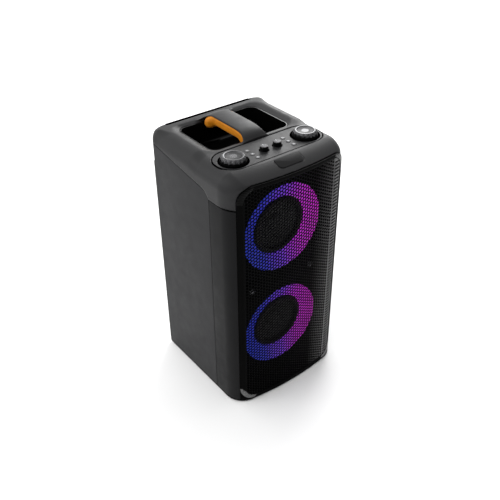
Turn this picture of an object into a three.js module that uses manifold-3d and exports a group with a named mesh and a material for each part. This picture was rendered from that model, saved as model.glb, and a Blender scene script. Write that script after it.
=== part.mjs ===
// A battery party speaker: a tall box with two lit woofers behind a bowed grille, a carrying bar
// over a tub in its top, and a strip of controls along the front of the top.
// Millimetres, +Z up, the grille faces -Y, origin at the middle of the footprint on the ground.

import * as THREE from 'three';
import { mergeVertices } from 'three/addons/utils/BufferGeometryUtils.js';
import Module from 'manifold-3d';

const wasm = await Module();
wasm.setup();

// ---- Driving dimensions ------------------------------------------------------------------------

const GAP = 0.3;

// Footprint of the body, seen from above.
const HALF_WIDTH = 148;
const FRONT_Y = -150;
const BACK_Y = 150;
const CORNER_RADIUS = 45;
const BOW_DEPTH = 8;
const REAR_RADIUS = 14;

// Heights.
const FOOT_HEIGHT = 3;
const BASE_TOP_Z = 6;
const COLUMN_TOP_Z = 504;
const DECK_Z = 571;
const FRAME_Z = 576;
const BAR_CREST_Z = 590;

// Skins.
const SKIN = 3;
const SIDE_PANEL_FRONT_Y = -60;
const SIDE_PANEL_BACK_Y = 134;
const CABINET_WALL = 6;
const SHELL_WALL = 6;

// Front: grille, its frame and the corner windows, set out as angles round the front corners.
const GRILLE_REACH = THREE.MathUtils.degToRad(26);
const FRAME_REACH = THREE.MathUtils.degToRad(44);
const COLUMN_REACH = THREE.MathUtils.degToRad(44.5);
const FRAME_BOTTOM_Z = 6.5;
const FRAME_TOP_Z = 554;
const FRAME_MARGIN = 8;
const FRAME_CORNER = 34;
const FRAME_DEPTH = 5;
const WINDOW_DEPTH = 2;
const WINDOW_SPAN = 41;
const WINDOW_HEIGHT = 38;
const GRILLE_SET_BACK = 1;
const GRILLE_THICKNESS = 1.5;

// Baffle and drivers.
const BAFFLE_FRONT_Y = -106;
const BAFFLE_BACK_Y = -92.2;
const WOOFER_Z = [148, 406];
const RING_OUTER = 100;
const RING_INNER = 66.3;
const RING_FUNNEL = 13.7;
const RING_WALL = 2.5;
const WOOFER_HOLE = 84;
const TWEETER_X = 81;
const TWEETER_Z = 277;
const BAFFLE_HALF_WIDTH = 139;
const BAFFLE_Z = [10, 540];
const RING_POCKET_Y = -96.3;

// Woofer and tweeter profiles, radii and depths along Y.
const LED_BOARD = { inner: 89, outer: 99.7, y: [-98, -96.6] };
const BASKET = { bore: 62, flange: 93, shoulder: 70, back: 45, neck: 16, wall: 3, backY: -47 };
const MAGNET = { radius: 42, backY: -24 };
const DUST_CAP = [[0, -83.5], [8, -82.8], [15, -80]];
const CONE = { rim: 52.5, rimY: -91, wall: 1.2, neck: 19, neckY: -76 };
const COIL = { outer: 15, inner: 13.5, frontY: -74, backY: -54 };
const ROLL = { middle: 58, outer: 5.2, inner: 4, y: -92.6, flange: 66, lip: 50 };
const TWEETER_DOME = [[0, -112], [5, -111.5], [10, -109.5], [12.5, -106.5]];
const TWEETER_HORN = [[16, -105.5], [21, -109], [27, -108.5]];
const TWEETER_BODY = { radius: 20, backY: -84 };

// Handle: the opening in the top, the tub under it and the bar across it.
const OPENING_X = 100;
const OPENING_Y = [-11, 121];
const OPENING_RADIUS = 20;
const TUB_FLOOR_Z = 515;
const BAR_HALF_WIDTH = 24;

// Controls.
const PANEL_X = 126;
const PANEL_Y = [-98, -21];
const PANEL_CORNER = 35.9;
const DIAL_X = 90;
const DIAL_Y = -64;
const DIAL_RADIUS = 25;
const DIAL_TOP_Z = 584;
const WELL_RADIUS = 31;
const TRIM_X = 16.5;
const TRIM_Y = -65;
const TRIM_RADIUS = 9.5;
const TRIM_TOP_Z = 581;
const BUTTON_X = 45;
const BUTTON_Y = [-48, -65, -82];
const BUTTON_RADIUS = 4.6;
const BUTTON_TRAVEL = 1;
const BUTTON_RISE = 1.2;
const BUTTON_STEM = 2.2;
const BOARD_Z = 548;
const BOARD_THICKNESS = 1.6;
const SHAFT_RADIUS = 3;
const KNOB_BORE = 3.4;
const SCALLOPS = 16;

// Back.
const COVER_X = 110;
const COVER_THICKNESS = 3;
const TOE_RADIUS = 20;
const PORT_Z = 400;
const PORT_BORE = 25;
const PORT_BODY = 28;
const PORT_FLANGE = 36;
const PORT_INNER_Y = 62;
const IO_Z = [90, 180];
const IO_X = 50;
const IO_FLANGE = 6;
const IO_WALL = 2.5;
const IO_FLOOR_Y = 130;
const INLET = { x: -26, z: 114, halfWidth: 12, halfHeight: 8 };
const USB = { x: 14, z: 114, halfWidth: 8, halfHeight: 4.5 };
const JACK = { x: 14, z: 152, radius: 6.5, bore: 3.4 };

// Electronics in the bottom of the cabinet, as spans in X, Y and Z.
const AMPLIFIER = [[-60, 60], [124, 126], [215, 340]];
const POWER_SUPPLY = [[-118, -18], [50, 120], [18, 58]];
const BATTERY = [[8, 118], [20, 105], [18, 78]];

// Feet: two long rubber strips.
const FOOT = { halfLength: 95, halfWidth: 9, frontY: -112, rearY: 108 };

// ---- Materials ---------------------------------------------------------------------------------

const plastic = (color, roughness = 0.55) => (
  new THREE.MeshStandardMaterial({ color, roughness, metalness: 0 })
);
const SHELL_GREY = plastic(0x3a3a3a);
const PANEL_GREY = plastic(0x2f2f2f, 0.7);
const SATIN_BLACK = plastic(0x141414, 0.45);
const GLOSS_BLACK = plastic(0x080808, 0.15);
const GRIP_ORANGE = plastic(0xd07a10, 0.7);
const SMOKED_CLEAR = plastic(0x6a6a6a, 0.2);
const RING_VIOLET = plastic(0x5a35c0, 0.4);
const BUTTON_GREY = plastic(0x8c8c8c, 0.5);
const RUBBER = plastic(0x101010, 0.9);
const BOARD_GREEN = plastic(0x0c4a2a, 0.5);
const BATTERY_BLUE = plastic(0x1d3f78, 0.5);
const BOX_WOOD = plastic(0x1a1714, 0.8);
const PAPER_CONE = plastic(0x181818, 0.9);
const GRILLE_STEEL = new THREE.MeshStandardMaterial({ color: 0x101010, roughness: 0.5, metalness: 0.6 });
const STEEL = new THREE.MeshStandardMaterial({ color: 0x8f9296, roughness: 0.35, metalness: 0.9 });
const FERRITE = new THREE.MeshStandardMaterial({ color: 0x2b2b2d, roughness: 0.7, metalness: 0.3 });
const DIAL_METAL = new THREE.MeshStandardMaterial({ color: 0x4a4a4c, roughness: 0.35, metalness: 0.8 });

// ---- Turning geometry into solids and back -----------------------------------------------------

const speaker = new THREE.Group();

function closedMesh(geometry) {
  const bare = geometry.clone();
  bare.deleteAttribute('normal');
  bare.deleteAttribute('uv');
  const merged = mergeVertices(bare, 1e-4);
  const vertProperties = new Float32Array(merged.getAttribute('position').array);
  const index = merged.getIndex().array;
  const corner = (i) => new THREE.Vector3().fromArray(vertProperties, i * 3);
  const triangles = [];
  let volume = 0;
  for (let i = 0; i < index.length; i += 3) {
    const [a, b, c] = [index[i], index[i + 1], index[i + 2]];
    if (a === b || b === c || c === a) continue;
    triangles.push([a, b, c]);
    volume += corner(a).dot(corner(b).cross(corner(c)));
  }
  const outward = volume < 0 ? triangles.map(([a, b, c]) => [a, c, b]) : triangles;
  return { vertProperties, triVerts: new Uint32Array(outward.flat()) };
}

function solid(geometry) {
  return new wasm.Manifold(new wasm.Mesh({ numProp: 3, ...closedMesh(geometry) }));
}

function geometryOf(shape) {
  const { vertProperties, triVerts } = shape.getMesh();
  const geometry = new THREE.BufferGeometry();
  geometry.setAttribute('position', new THREE.BufferAttribute(vertProperties, 3));
  geometry.setIndex(new THREE.BufferAttribute(triVerts, 1));
  return geometry;
}

function addPart(name, shape, material, position = [0, 0, 0]) {
  const mesh = new THREE.Mesh(geometryOf(shape), material);
  mesh.name = name;
  mesh.position.set(...position);
  speaker.add(mesh);
}

// ---- Shape helpers -----------------------------------------------------------------------------

function extrude(points, depth) {
  return new THREE.ExtrudeGeometry(new THREE.Shape(points), { depth, bevelEnabled: false });
}

// A plan drawn in X and Y, standing from z0 to z1.
function standing(points, z0, z1) {
  return solid(extrude(points, z1 - z0).translate(0, 0, z0));
}

// An elevation drawn in X and Z, running from y0 back to y1.
function throughY(points, y0, y1) {
  return solid(extrude(points, y1 - y0).rotateX(Math.PI / 2).translate(0, y1, 0));
}

// A side view drawn in Y and Z, running from x0 to x1.
function throughX(points, x0, x1) {
  const turn = new THREE.Matrix4().makeBasis(
    new THREE.Vector3(0, 1, 0),
    new THREE.Vector3(0, 0, 1),
    new THREE.Vector3(1, 0, 0),
  );
  return solid(extrude(points, x1 - x0).applyMatrix4(turn).translate(x0, 0, 0));
}

function box([x0, x1], [y0, y1], [z0, z1]) {
  const geometry = new THREE.BoxGeometry(x1 - x0, y1 - y0, z1 - z0);
  return solid(geometry.translate((x0 + x1) / 2, (y0 + y1) / 2, (z0 + z1) / 2));
}

// A profile of [radius, height] turned about the Y axis.
function turnedY(profile, steps = 28) {
  return solid(new THREE.LatheGeometry(profile.map(([r, y]) => new THREE.Vector2(r, y)), steps));
}

// A profile of [radius, height] turned about the Z axis.
function turnedZ(profile, steps = 28) {
  const points = profile.map(([r, z]) => new THREE.Vector2(r, z));
  return solid(new THREE.LatheGeometry(points, steps).rotateX(Math.PI / 2));
}

const discProfile = (radius, low, high) => [[0, low], [radius, low], [radius, high], [0, high]];

function at(shape, x, y, z) {
  return solid(geometryOf(shape).translate(x, y, z));
}

function flipped(shape) {
  return solid(geometryOf(shape).scale(-1, 1, 1));
}

function arc(x, y, radius, from, to, steps) {
  return Array.from({ length: steps + 1 }, (_, i) => {
    const angle = from + ((to - from) * i) / steps;
    return new THREE.Vector2(x + radius * Math.cos(angle), y + radius * Math.sin(angle));
  });
}

function roundedRectangle([x0, x1], [y0, y1], radius, steps = 6) {
  const quarter = Math.PI / 2;
  return [
    ...arc(x1 - radius, y0 + radius, radius, -quarter, 0, steps),
    ...arc(x1 - radius, y1 - radius, radius, 0, quarter, steps),
    ...arc(x0 + radius, y1 - radius, radius, quarter, 2 * quarter, steps),
    ...arc(x0 + radius, y0 + radius, radius, 2 * quarter, 3 * quarter, steps),
  ];
}

const mirrored = (points) => points.map((point) => new THREE.Vector2(-point.x, point.y));

// ---- The body's footprint ----------------------------------------------------------------------

const SOUTH = 1.5 * Math.PI;

// The bow is one large arc that meets both corner arcs without a kink.
function frontArcs({ half, front, corner }) {
  const cornerX = half - corner;
  const cornerY = front + BOW_DEPTH + corner;
  const reach = BOW_DEPTH + corner;
  const bowRadius = (cornerX ** 2 + reach ** 2 - corner ** 2) / (2 * BOW_DEPTH);
  const join = Math.atan2(cornerX, bowRadius - reach);
  return { cornerX, cornerY, bowRadius, bowY: front + bowRadius, join };
}

const FRONT_ARCS = frontArcs({ half: HALF_WIDTH, front: FRONT_Y, corner: CORNER_RADIUS });

function footprint({ half, front, back, corner, rear }) {
  const { cornerX, cornerY, bowRadius, bowY, join } = frontArcs({ half, front, corner });
  return [
    ...arc(half - rear, back - rear, rear, 0, Math.PI / 2, 4),
    ...arc(rear - half, back - rear, rear, Math.PI / 2, Math.PI, 4),
    ...arc(-cornerX, cornerY, corner, Math.PI, SOUTH - join, 10),
    ...arc(0, bowY, bowRadius, SOUTH - join, SOUTH + join, 12).slice(1, -1),
    ...arc(cornerX, cornerY, corner, SOUTH + join, 2 * Math.PI, 10),
  ];
}

// The front line from left to right, a given distance in from the skin, reaching an angle round
// each corner.
function frontLine(inset, reach) {
  const { cornerX, cornerY, bowRadius, bowY, join } = FRONT_ARCS;
  const radius = CORNER_RADIUS - inset;
  return [
    ...arc(-cornerX, cornerY, radius, SOUTH - reach, SOUTH - join, 8),
    ...arc(0, bowY, bowRadius - inset, SOUTH - join, SOUTH + join, 12).slice(1, -1),
    ...arc(cornerX, cornerY, radius, SOUTH + join, SOUTH + reach, 8),
  ];
}

function frontBand(outer, inner, reach, z0, z1) {
  return standing([...frontLine(outer, reach), ...frontLine(inner, reach).reverse()], z0, z1);
}

const edgeX = (reach) => FRONT_ARCS.cornerX + CORNER_RADIUS * Math.sin(reach);

// Rounded window in the front elevation, grown on every side by a margin.
function frontWindow(halfWidth, [z0, z1], radius, margin = 0) {
  return throughY(
    roundedRectangle(
      [-halfWidth - margin, halfWidth + margin],
      [z0 - margin, z1 + margin],
      radius + margin,
      8,
    ),
    FRONT_Y - 20,
    BAFFLE_FRONT_Y + GAP,
  );
}

const frameWindow = (margin) => (
  frontWindow(edgeX(FRAME_REACH), [FRAME_BOTTOM_Z, FRAME_TOP_Z], FRAME_CORNER, margin)
);
const grilleWindow = (margin) => (
  frontWindow(
    edgeX(GRILLE_REACH),
    [FRAME_BOTTOM_Z + FRAME_MARGIN, FRAME_TOP_Z - FRAME_MARGIN],
    FRAME_CORNER - FRAME_MARGIN,
    margin,
  )
);

// ---- The rear toe: the bottom rear edge is rounded right across the body -----------------------

const TOE_Y = BACK_Y - TOE_RADIUS;
const TOE_Z = FOOT_HEIGHT + TOE_RADIUS;
const rearToe = throughX(
  [
    ...arc(TOE_Y, TOE_Z, TOE_RADIUS, 0, -Math.PI / 2, 8),
    new THREE.Vector2(TOE_Y, 1),
    new THREE.Vector2(BACK_Y + 5, 1),
    new THREE.Vector2(BACK_Y + 5, TOE_Z),
  ],
  -HALF_WIDTH - 5,
  HALF_WIDTH + 5,
);

// ---- Side panels -------------------------------------------------------------------------------

// Side view of a panel: its top edge falls towards the front and turns down in a round corner.
function sidePanelOutline(margin) {
  const topBack = 547 + margin;
  const topFront = 521 + margin;
  const front = SIDE_PANEL_FRONT_Y + GAP - margin;
  const back = SIDE_PANEL_BACK_Y + margin;
  const bottom = BASE_TOP_Z + GAP - margin;
  const shoulder = 24;
  const fall = Math.atan2(topBack - topFront, back - front - shoulder);
  return [
    new THREE.Vector2(front, bottom),
    new THREE.Vector2(back, bottom),
    new THREE.Vector2(back, topBack),
    ...arc(front + shoulder, topFront - shoulder, shoulder, Math.PI / 2 + fall, Math.PI, 8),
  ];
}

const sidePanel = throughX(sidePanelOutline(0), HALF_WIDTH - SKIN, HALF_WIDTH).subtract(rearToe);
const sidePocket = throughX(sidePanelOutline(GAP), HALF_WIDTH - SKIN - GAP, HALF_WIDTH + 5);
addPart('right_side_panel', sidePanel, PANEL_GREY);
addPart('left_side_panel', flipped(sidePanel), PANEL_GREY);

// ---- Corner columns ----------------------------------------------------------------------------

function columnLine(inset) {
  const { cornerX, cornerY } = FRONT_ARCS;
  const curve = arc(cornerX, cornerY, CORNER_RADIUS - inset, SOUTH + COLUMN_REACH, 2 * Math.PI, 8);
  return [...curve, new THREE.Vector2(HALF_WIDTH - inset, SIDE_PANEL_FRONT_Y)];
}

const columnPlan = [...columnLine(0), ...columnLine(SKIN).reverse()];
const columnHeights = [BASE_TOP_Z + GAP, COLUMN_TOP_Z - GAP];
addPart('right_corner_column', standing(columnPlan, ...columnHeights), SHELL_GREY);
addPart('left_corner_column', standing(mirrored(columnPlan), ...columnHeights), SHELL_GREY);

// ---- Base and feet -----------------------------------------------------------------------------

const bodyPlan = footprint({
  half: HALF_WIDTH,
  front: FRONT_Y,
  back: BACK_Y,
  corner: CORNER_RADIUS,
  rear: REAR_RADIUS,
});
const skirt = frontBand(0, FRAME_DEPTH, FRAME_REACH, FOOT_HEIGHT, FRAME_BOTTOM_Z + FRAME_CORNER);
const base = standing(bodyPlan, FOOT_HEIGHT, BASE_TOP_Z)
  .add(skirt)
  .subtract(frameWindow(GAP))
  .subtract(rearToe);
addPart('base_plate', base, SATIN_BLACK);

const footPlan = roundedRectangle(
  [-FOOT.halfLength, FOOT.halfLength],
  [-FOOT.halfWidth, FOOT.halfWidth],
  FOOT.halfWidth - 0.1,
  4,
);
const foot = standing(footPlan, 0, FOOT_HEIGHT - GAP);
addPart('front_foot', foot, RUBBER, [0, FOOT.frontY, 0]);
addPart('rear_foot', foot, RUBBER, [0, FOOT.rearY, 0]);

// ---- Cabinet: the sealed box behind the baffle -------------------------------------------------

const cabinetHalf = HALF_WIDTH - SKIN - GAP;
const cabinetFront = BAFFLE_BACK_Y + GAP;
const cabinetPlan = [
  new THREE.Vector2(cabinetHalf, cabinetFront),
  new THREE.Vector2(cabinetHalf, SIDE_PANEL_BACK_Y + GAP),
  new THREE.Vector2(HALF_WIDTH, SIDE_PANEL_BACK_Y + GAP),
  ...arc(HALF_WIDTH - REAR_RADIUS, BACK_Y - REAR_RADIUS, REAR_RADIUS, 0, Math.PI / 2, 5),
];
const cabinetOutline = [...cabinetPlan, ...mirrored(cabinetPlan).reverse()];
const coverPocketY = BACK_Y - COVER_THICKNESS - GAP;
const COVER_BOTTOM_Z = 24;
const coverPocket = box(
  [-COVER_X - GAP, COVER_X + GAP],
  [coverPocketY, BACK_Y + 5],
  [COVER_BOTTOM_Z - GAP, FRAME_Z + 5],
);
const portHole = at(turnedY(discProfile(PORT_BODY + GAP, -20, 20)), 0, BACK_Y - 8, PORT_Z);
const ioHole = box(
  [-IO_X - GAP, IO_X + GAP],
  [IO_FLOOR_Y - 30, BACK_Y + 5],
  [IO_Z[0] - GAP, IO_Z[1] + GAP],
);
const CABINET_FLOOR_Z = 14;
const cabinetHollow = box(
  [CABINET_WALL - cabinetHalf, cabinetHalf - CABINET_WALL],
  [cabinetFront - 5, coverPocketY - 2 * CABINET_WALL],
  [CABINET_FLOOR_Z, COLUMN_TOP_Z - 4],
);
// The back board lies in the cabinet's back, against a ledge all round the opening.
const LEDGE = 6;
const BACK_BOARD = { halfWidth: COVER_X - 6, z: [30, COLUMN_TOP_Z - 10] };
const backOpening = box(
  [LEDGE - BACK_BOARD.halfWidth, BACK_BOARD.halfWidth - LEDGE],
  [cabinetFront, BACK_Y],
  [BACK_BOARD.z[0] + LEDGE, BACK_BOARD.z[1] - LEDGE],
);
const backRebate = box(
  [-BACK_BOARD.halfWidth - GAP, BACK_BOARD.halfWidth + GAP],
  [coverPocketY - CABINET_WALL - GAP, BACK_Y],
  [BACK_BOARD.z[0] - GAP, BACK_BOARD.z[1] + GAP],
);
const backBoard = box(
  [-BACK_BOARD.halfWidth, BACK_BOARD.halfWidth],
  [coverPocketY - CABINET_WALL, coverPocketY],
  BACK_BOARD.z,
)
  .subtract(portHole)
  .subtract(ioHole);
const cabinet = standing(cabinetOutline, BASE_TOP_Z + GAP, COLUMN_TOP_Z - GAP)
  .subtract(cabinetHollow)
  .subtract(coverPocket)
  .subtract(backOpening)
  .subtract(backRebate)
  .subtract(rearToe);
addPart('cabinet_box', cabinet, BOX_WOOD);
addPart('cabinet_back', backBoard, BOX_WOOD);

// ---- Top shell ---------------------------------------------------------------------------------

// Quarter-round roll-off: how far the skin has moved in at a height.
function rollOff(z, start, rise, run) {
  const t = THREE.MathUtils.clamp((z - start) / rise, 0, 1);
  return run * (1 - Math.sqrt(1 - t * t));
}

const SHOULDER = { start: 541, rise: FRAME_Z - 541, run: 34 };
const NAPE = { start: 571, rise: FRAME_Z - 571, run: 3 };

// The brow falls away from the deck to the top of the grille as a parabola.
const BROW = { top: 572.6, back: 54, fall: 0.007 };
const browDrop = (z) => Math.sqrt(Math.max(BROW.top - z, 0) / BROW.fall);
const browHeight = (y) => BROW.top - BROW.fall * (y - FRONT_Y - BROW.back) ** 2;

function shellPlan(z, inset) {
  const side = rollOff(z, SHOULDER.start, SHOULDER.rise, SHOULDER.run);
  const front = Math.max(BROW.back - browDrop(z), 0);
  const back = rollOff(z, NAPE.start, NAPE.rise, NAPE.run);
  return footprint({
    half: HALF_WIDTH - side - inset,
    front: FRONT_Y + front + inset,
    back: BACK_Y - back - inset,
    corner: CORNER_RADIUS - 0.25 * side - 0.1 * front - inset,
    rear: REAR_RADIUS + 0.4 * side - inset,
  });
}

// A solid skinned over plans of equal point count, one for each height.
function loft(plans, heights) {
  const count = plans[0].length;
  const vertices = plans.flatMap((plan, level) => plan.flatMap((p) => [p.x, p.y, heights[level]]));
  const index = [];
  for (let level = 0; level < plans.length - 1; level += 1) {
    for (let i = 0; i < count; i += 1) {
      const low = level * count + i;
      const next = level * count + ((i + 1) % count);
      index.push(low, next, next + count, low, next + count, low + count);
    }
  }
  const top = (plans.length - 1) * count;
  for (const [a, b, c] of THREE.ShapeUtils.triangulateShape(plans[0], [])) index.push(a, c, b);
  for (const [a, b, c] of THREE.ShapeUtils.triangulateShape(plans.at(-1), [])) {
    index.push(top + a, top + b, top + c);
  }
  const geometry = new THREE.BufferGeometry();
  geometry.setAttribute('position', new THREE.Float32BufferAttribute(vertices, 3));
  geometry.setIndex(index);
  return solid(geometry);
}

const skinHeights = [COLUMN_TOP_Z, 541, 549.5, 554, 559, 563, 566.5, 569, 571, 573, 575, FRAME_Z];
const shellSkin = loft(skinHeights.map((z) => shellPlan(z, 0)), skinHeights);
const hollowHeights = [COLUMN_TOP_Z - 5, 541, 549, 555, 560, 563];
const shellHollow = loft(hollowHeights.map((z) => shellPlan(z, SHELL_WALL)), hollowHeights);
const rearHollow = box([-118, 118], [-18, 136], [540, DECK_Z - 4]);
// Clears the deck down to its height and ramps up to the frame behind it.
const deckCut = throughX(
  [
    new THREE.Vector2(-200, DECK_Z),
    new THREE.Vector2(PANEL_Y[1] + 1, DECK_Z),
    new THREE.Vector2(PANEL_Y[1] + 28, FRAME_Z + 0.2),
    new THREE.Vector2(PANEL_Y[1] + 28, FRAME_Z + 20),
    new THREE.Vector2(-200, FRAME_Z + 20),
  ],
  -200,
  200,
);

const opening = standing(
  roundedRectangle([-OPENING_X, OPENING_X], OPENING_Y, OPENING_RADIUS),
  530,
  FRAME_Z + 20,
);
const BEVEL = 15;
const BEVEL_FOOT_Z = FRAME_Z - 5;
const openingBevel = loft(
  [
    roundedRectangle([-OPENING_X, OPENING_X], OPENING_Y, OPENING_RADIUS),
    roundedRectangle(
      [-OPENING_X - BEVEL, OPENING_X + BEVEL],
      [OPENING_Y[0] - BEVEL * 0.3, OPENING_Y[1] + BEVEL * 0.6],
      OPENING_RADIUS + BEVEL * 0.4,
    ),
  ],
  [BEVEL_FOOT_Z, FRAME_Z + 0.6],
);

// The carrying bar: a flat-topped cap that is part of the shell. It falls to the frame at both
// ends and widens where it runs into the back.
const BAR_REAR_FLARE = { start: 98, width: 26 };
const BAR_CAP_DEPTH = 4;
const barEnds = [OPENING_Y[0] - 7, OPENING_Y[1] + 9];
const barMiddle = (barEnds[0] + barEnds[1]) / 2;
const barReach = (barEnds[1] - barEnds[0]) / 2;
function barHeight(y, endZ, crestZ) {
  const t = Math.abs(y - barMiddle) / barReach;
  return endZ + (crestZ - endZ) * (1 - t ** 6);
}
function barLine(endZ, crestZ, [from, to] = barEnds, steps = 20) {
  return Array.from({ length: steps + 1 }, (_, i) => {
    const y = THREE.MathUtils.lerp(from, to, 0.5 - 0.5 * Math.cos((Math.PI * i) / steps));
    return new THREE.Vector2(y, barHeight(y, endZ, crestZ));
  });
}
function barHalfWidth(y) {
  const t = Math.max((y - BAR_REAR_FLARE.start) / (barEnds[1] - BAR_REAR_FLARE.start), 0);
  return BAR_HALF_WIDTH + BAR_REAR_FLARE.width * t * t;
}
const barSide = [barEnds[0], 20, BAR_REAR_FLARE.start, 106, 112, 118, 124, barEnds[1]]
  .map((y) => new THREE.Vector2(barHalfWidth(y), y));
const barPlan = [...barSide, ...mirrored(barSide).reverse()];
const BAR_UNDERSIDE = { end: FRAME_Z - 8, crest: BAR_CREST_Z - BAR_CAP_DEPTH };
const barCap = throughX(
  [
    ...barLine(BAR_UNDERSIDE.end, BAR_UNDERSIDE.crest),
    ...barLine(FRAME_Z - 2, BAR_CREST_Z).reverse(),
  ],
  -60,
  60,
).intersect(standing(barPlan, FRAME_Z - 20, BAR_CREST_Z + 5));

const panelOutline = (margin) => (
  roundedRectangle(
    [-PANEL_X - margin, PANEL_X + margin],
    [PANEL_Y[0] - margin, PANEL_Y[1] + margin],
    PANEL_CORNER + margin,
    10,
  )
);
const panelPocket = standing(panelOutline(0.4), DECK_Z - SKIN - GAP, DECK_Z + 20)
  .add(standing(panelOutline(-5), DECK_Z - 20, DECK_Z + 20));

const BADGE = { halfWidth: 31, halfHeight: 12.5, y: -122.5, thickness: 1.4, sink: 1 };
const badgeTilt = Math.atan(-2 * BROW.fall * (BADGE.y - FRONT_Y - BROW.back));
function badgeBlock(margin, low, high) {
  const plan = roundedRectangle(
    [-BADGE.halfWidth - margin, BADGE.halfWidth + margin],
    [-BADGE.halfHeight - margin, BADGE.halfHeight + margin],
    5 + margin,
  );
  const geometry = extrude(plan, high - low).translate(0, 0, low).rotateX(badgeTilt);
  return solid(geometry.translate(0, BADGE.y, browHeight(BADGE.y)));
}
const badgePocket = badgeBlock(GAP, -BADGE.sink - GAP, 20);

const LIP = { y: 142, bottom: 569, top: FRAME_Z - 0.6 };
const lipPocket = box(
  [-COVER_X - GAP, COVER_X + GAP],
  [LIP.y - GAP, BACK_Y + 5],
  [LIP.bottom - GAP, FRAME_Z + 20],
);

const topShell = shellSkin
  .subtract(deckCut)
  .subtract(shellHollow)
  .subtract(rearHollow)
  .subtract(opening)
  .subtract(openingBevel)
  .add(barCap)
  .subtract(panelPocket)
  .subtract(badgePocket)
  .subtract(frameWindow(GAP))
  .subtract(sidePocket)
  .subtract(flipped(sidePocket))
  .subtract(coverPocket)
  .subtract(lipPocket);
addPart('top_shell', topShell, SHELL_GREY);
addPart('badge_plate', badgeBlock(0, -BADGE.sink, BADGE.thickness - BADGE.sink), SATIN_BLACK);

// ---- Handle tub and grip -----------------------------------------------------------------------

const tubTopZ = BEVEL_FOOT_Z - 0.5;
const tubPlan = (inset) => (
  roundedRectangle(
    [-OPENING_X + GAP + inset, OPENING_X - GAP - inset],
    [OPENING_Y[0] + GAP + inset, OPENING_Y[1] - GAP - inset],
    OPENING_RADIUS - inset,
  )
);
const tub = standing(tubPlan(0), TUB_FLOOR_Z, tubTopZ)
  .subtract(standing(tubPlan(2.5), TUB_FLOOR_Z + SKIN, tubTopZ + 5));

// The grip is a soft pad under the bar's cap. It turns down at both ends, and its rear end swells
// into a knob wider than the bar.
const GRIP_UNDERSIDE_Z = 567;
const GRIP_TOE_Z = 559;
const KNOB = { halfWidth: 36, y: [94, 117], z: [561, 582], radius: 11 };
const gripHalf = BAR_HALF_WIDTH - 0.5;
const gripEnds = [OPENING_Y[0] + 3.2, OPENING_Y[1] - 3.2];
const toeBend = GRIP_UNDERSIDE_Z - GRIP_TOE_Z;
const capClear = GAP + 0.2;
const capLine = barLine(
  BAR_UNDERSIDE.end - capClear,
  BAR_UNDERSIDE.crest - capClear,
  gripEnds,
  14,
).reverse();
const gripPad = throughX(
  [
    new THREE.Vector2(gripEnds[0], GRIP_TOE_Z),
    new THREE.Vector2(gripEnds[0] + 6, GRIP_TOE_Z),
    ...arc(gripEnds[0] + 6 + toeBend, GRIP_TOE_Z, toeBend, Math.PI, Math.PI / 2, 5),
    ...arc(gripEnds[1] - 6 - toeBend, GRIP_TOE_Z, toeBend, Math.PI / 2, 0, 5),
    new THREE.Vector2(gripEnds[1], GRIP_TOE_Z),
    ...capLine,
  ],
  -gripHalf,
  gripHalf,
);
const knobPlan = roundedRectangle([-KNOB.halfWidth, KNOB.halfWidth], KNOB.y, KNOB.radius, 6);
const underCap = throughX(
  [
    new THREE.Vector2(gripEnds[0], FRAME_Z - 40),
    new THREE.Vector2(gripEnds[1], FRAME_Z - 40),
    ...capLine,
  ],
  -60,
  60,
);
const grip = gripPad.add(standing(knobPlan, ...KNOB.z).intersect(underCap));
addPart('handle_tub', tub, GLOSS_BLACK);
addPart('handle_grip', grip, GRIP_ORANGE);

// ---- Grille, its frame and the corner windows --------------------------------------------------

const frameHeights = [FRAME_BOTTOM_Z - 1, FRAME_TOP_Z + 1];
const frameRing = frontBand(0, FRAME_DEPTH, FRAME_REACH, ...frameHeights)
  .intersect(frameWindow(0))
  .subtract(grilleWindow(0));

function cornerBlock(sideways, upward, margin) {
  const insideX = edgeX(FRAME_REACH) - WINDOW_SPAN - margin;
  const insideZ = upward > 0
    ? FRAME_TOP_Z - WINDOW_HEIGHT - margin
    : FRAME_BOTTOM_Z + WINDOW_HEIGHT + margin;
  const xs = [sideways * insideX, sideways * 200].sort((a, b) => a - b);
  const zs = [insideZ, upward > 0 ? 700 : -100].sort((a, b) => a - b);
  return box(xs, [-200, -50], zs);
}

const windowSkin = frontBand(0, WINDOW_DEPTH, FRAME_REACH, ...frameHeights)
  .intersect(frameWindow(0))
  .subtract(grilleWindow(1));
const windowPocket = frontBand(-2, WINDOW_DEPTH + GAP, COLUMN_REACH + 0.05, ...frameHeights)
  .intersect(frameWindow(5));
let frame = frameRing;
for (const [side, sideways] of [['left', -1], ['right', 1]]) {
  for (const [level, upward] of [['lower', -1], ['upper', 1]]) {
    addPart(
      `${level}_${side}_corner_window`,
      windowSkin.intersect(cornerBlock(sideways, upward, 0)),
      SMOKED_CLEAR,
    );
    frame = frame.subtract(windowPocket.intersect(cornerBlock(sideways, upward, GAP)));
  }
}
addPart('grille_frame', frame, SATIN_BLACK);

const grille = frontBand(
  GRILLE_SET_BACK,
  GRILLE_SET_BACK + GRILLE_THICKNESS,
  GRILLE_REACH - 0.01,
  FRAME_BOTTOM_Z,
  FRAME_TOP_Z,
).intersect(grilleWindow(-GAP));
addPart('grille', grille, GRILLE_STEEL);

// ---- Baffle ------------------------------------------------------------------------------------

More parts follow.
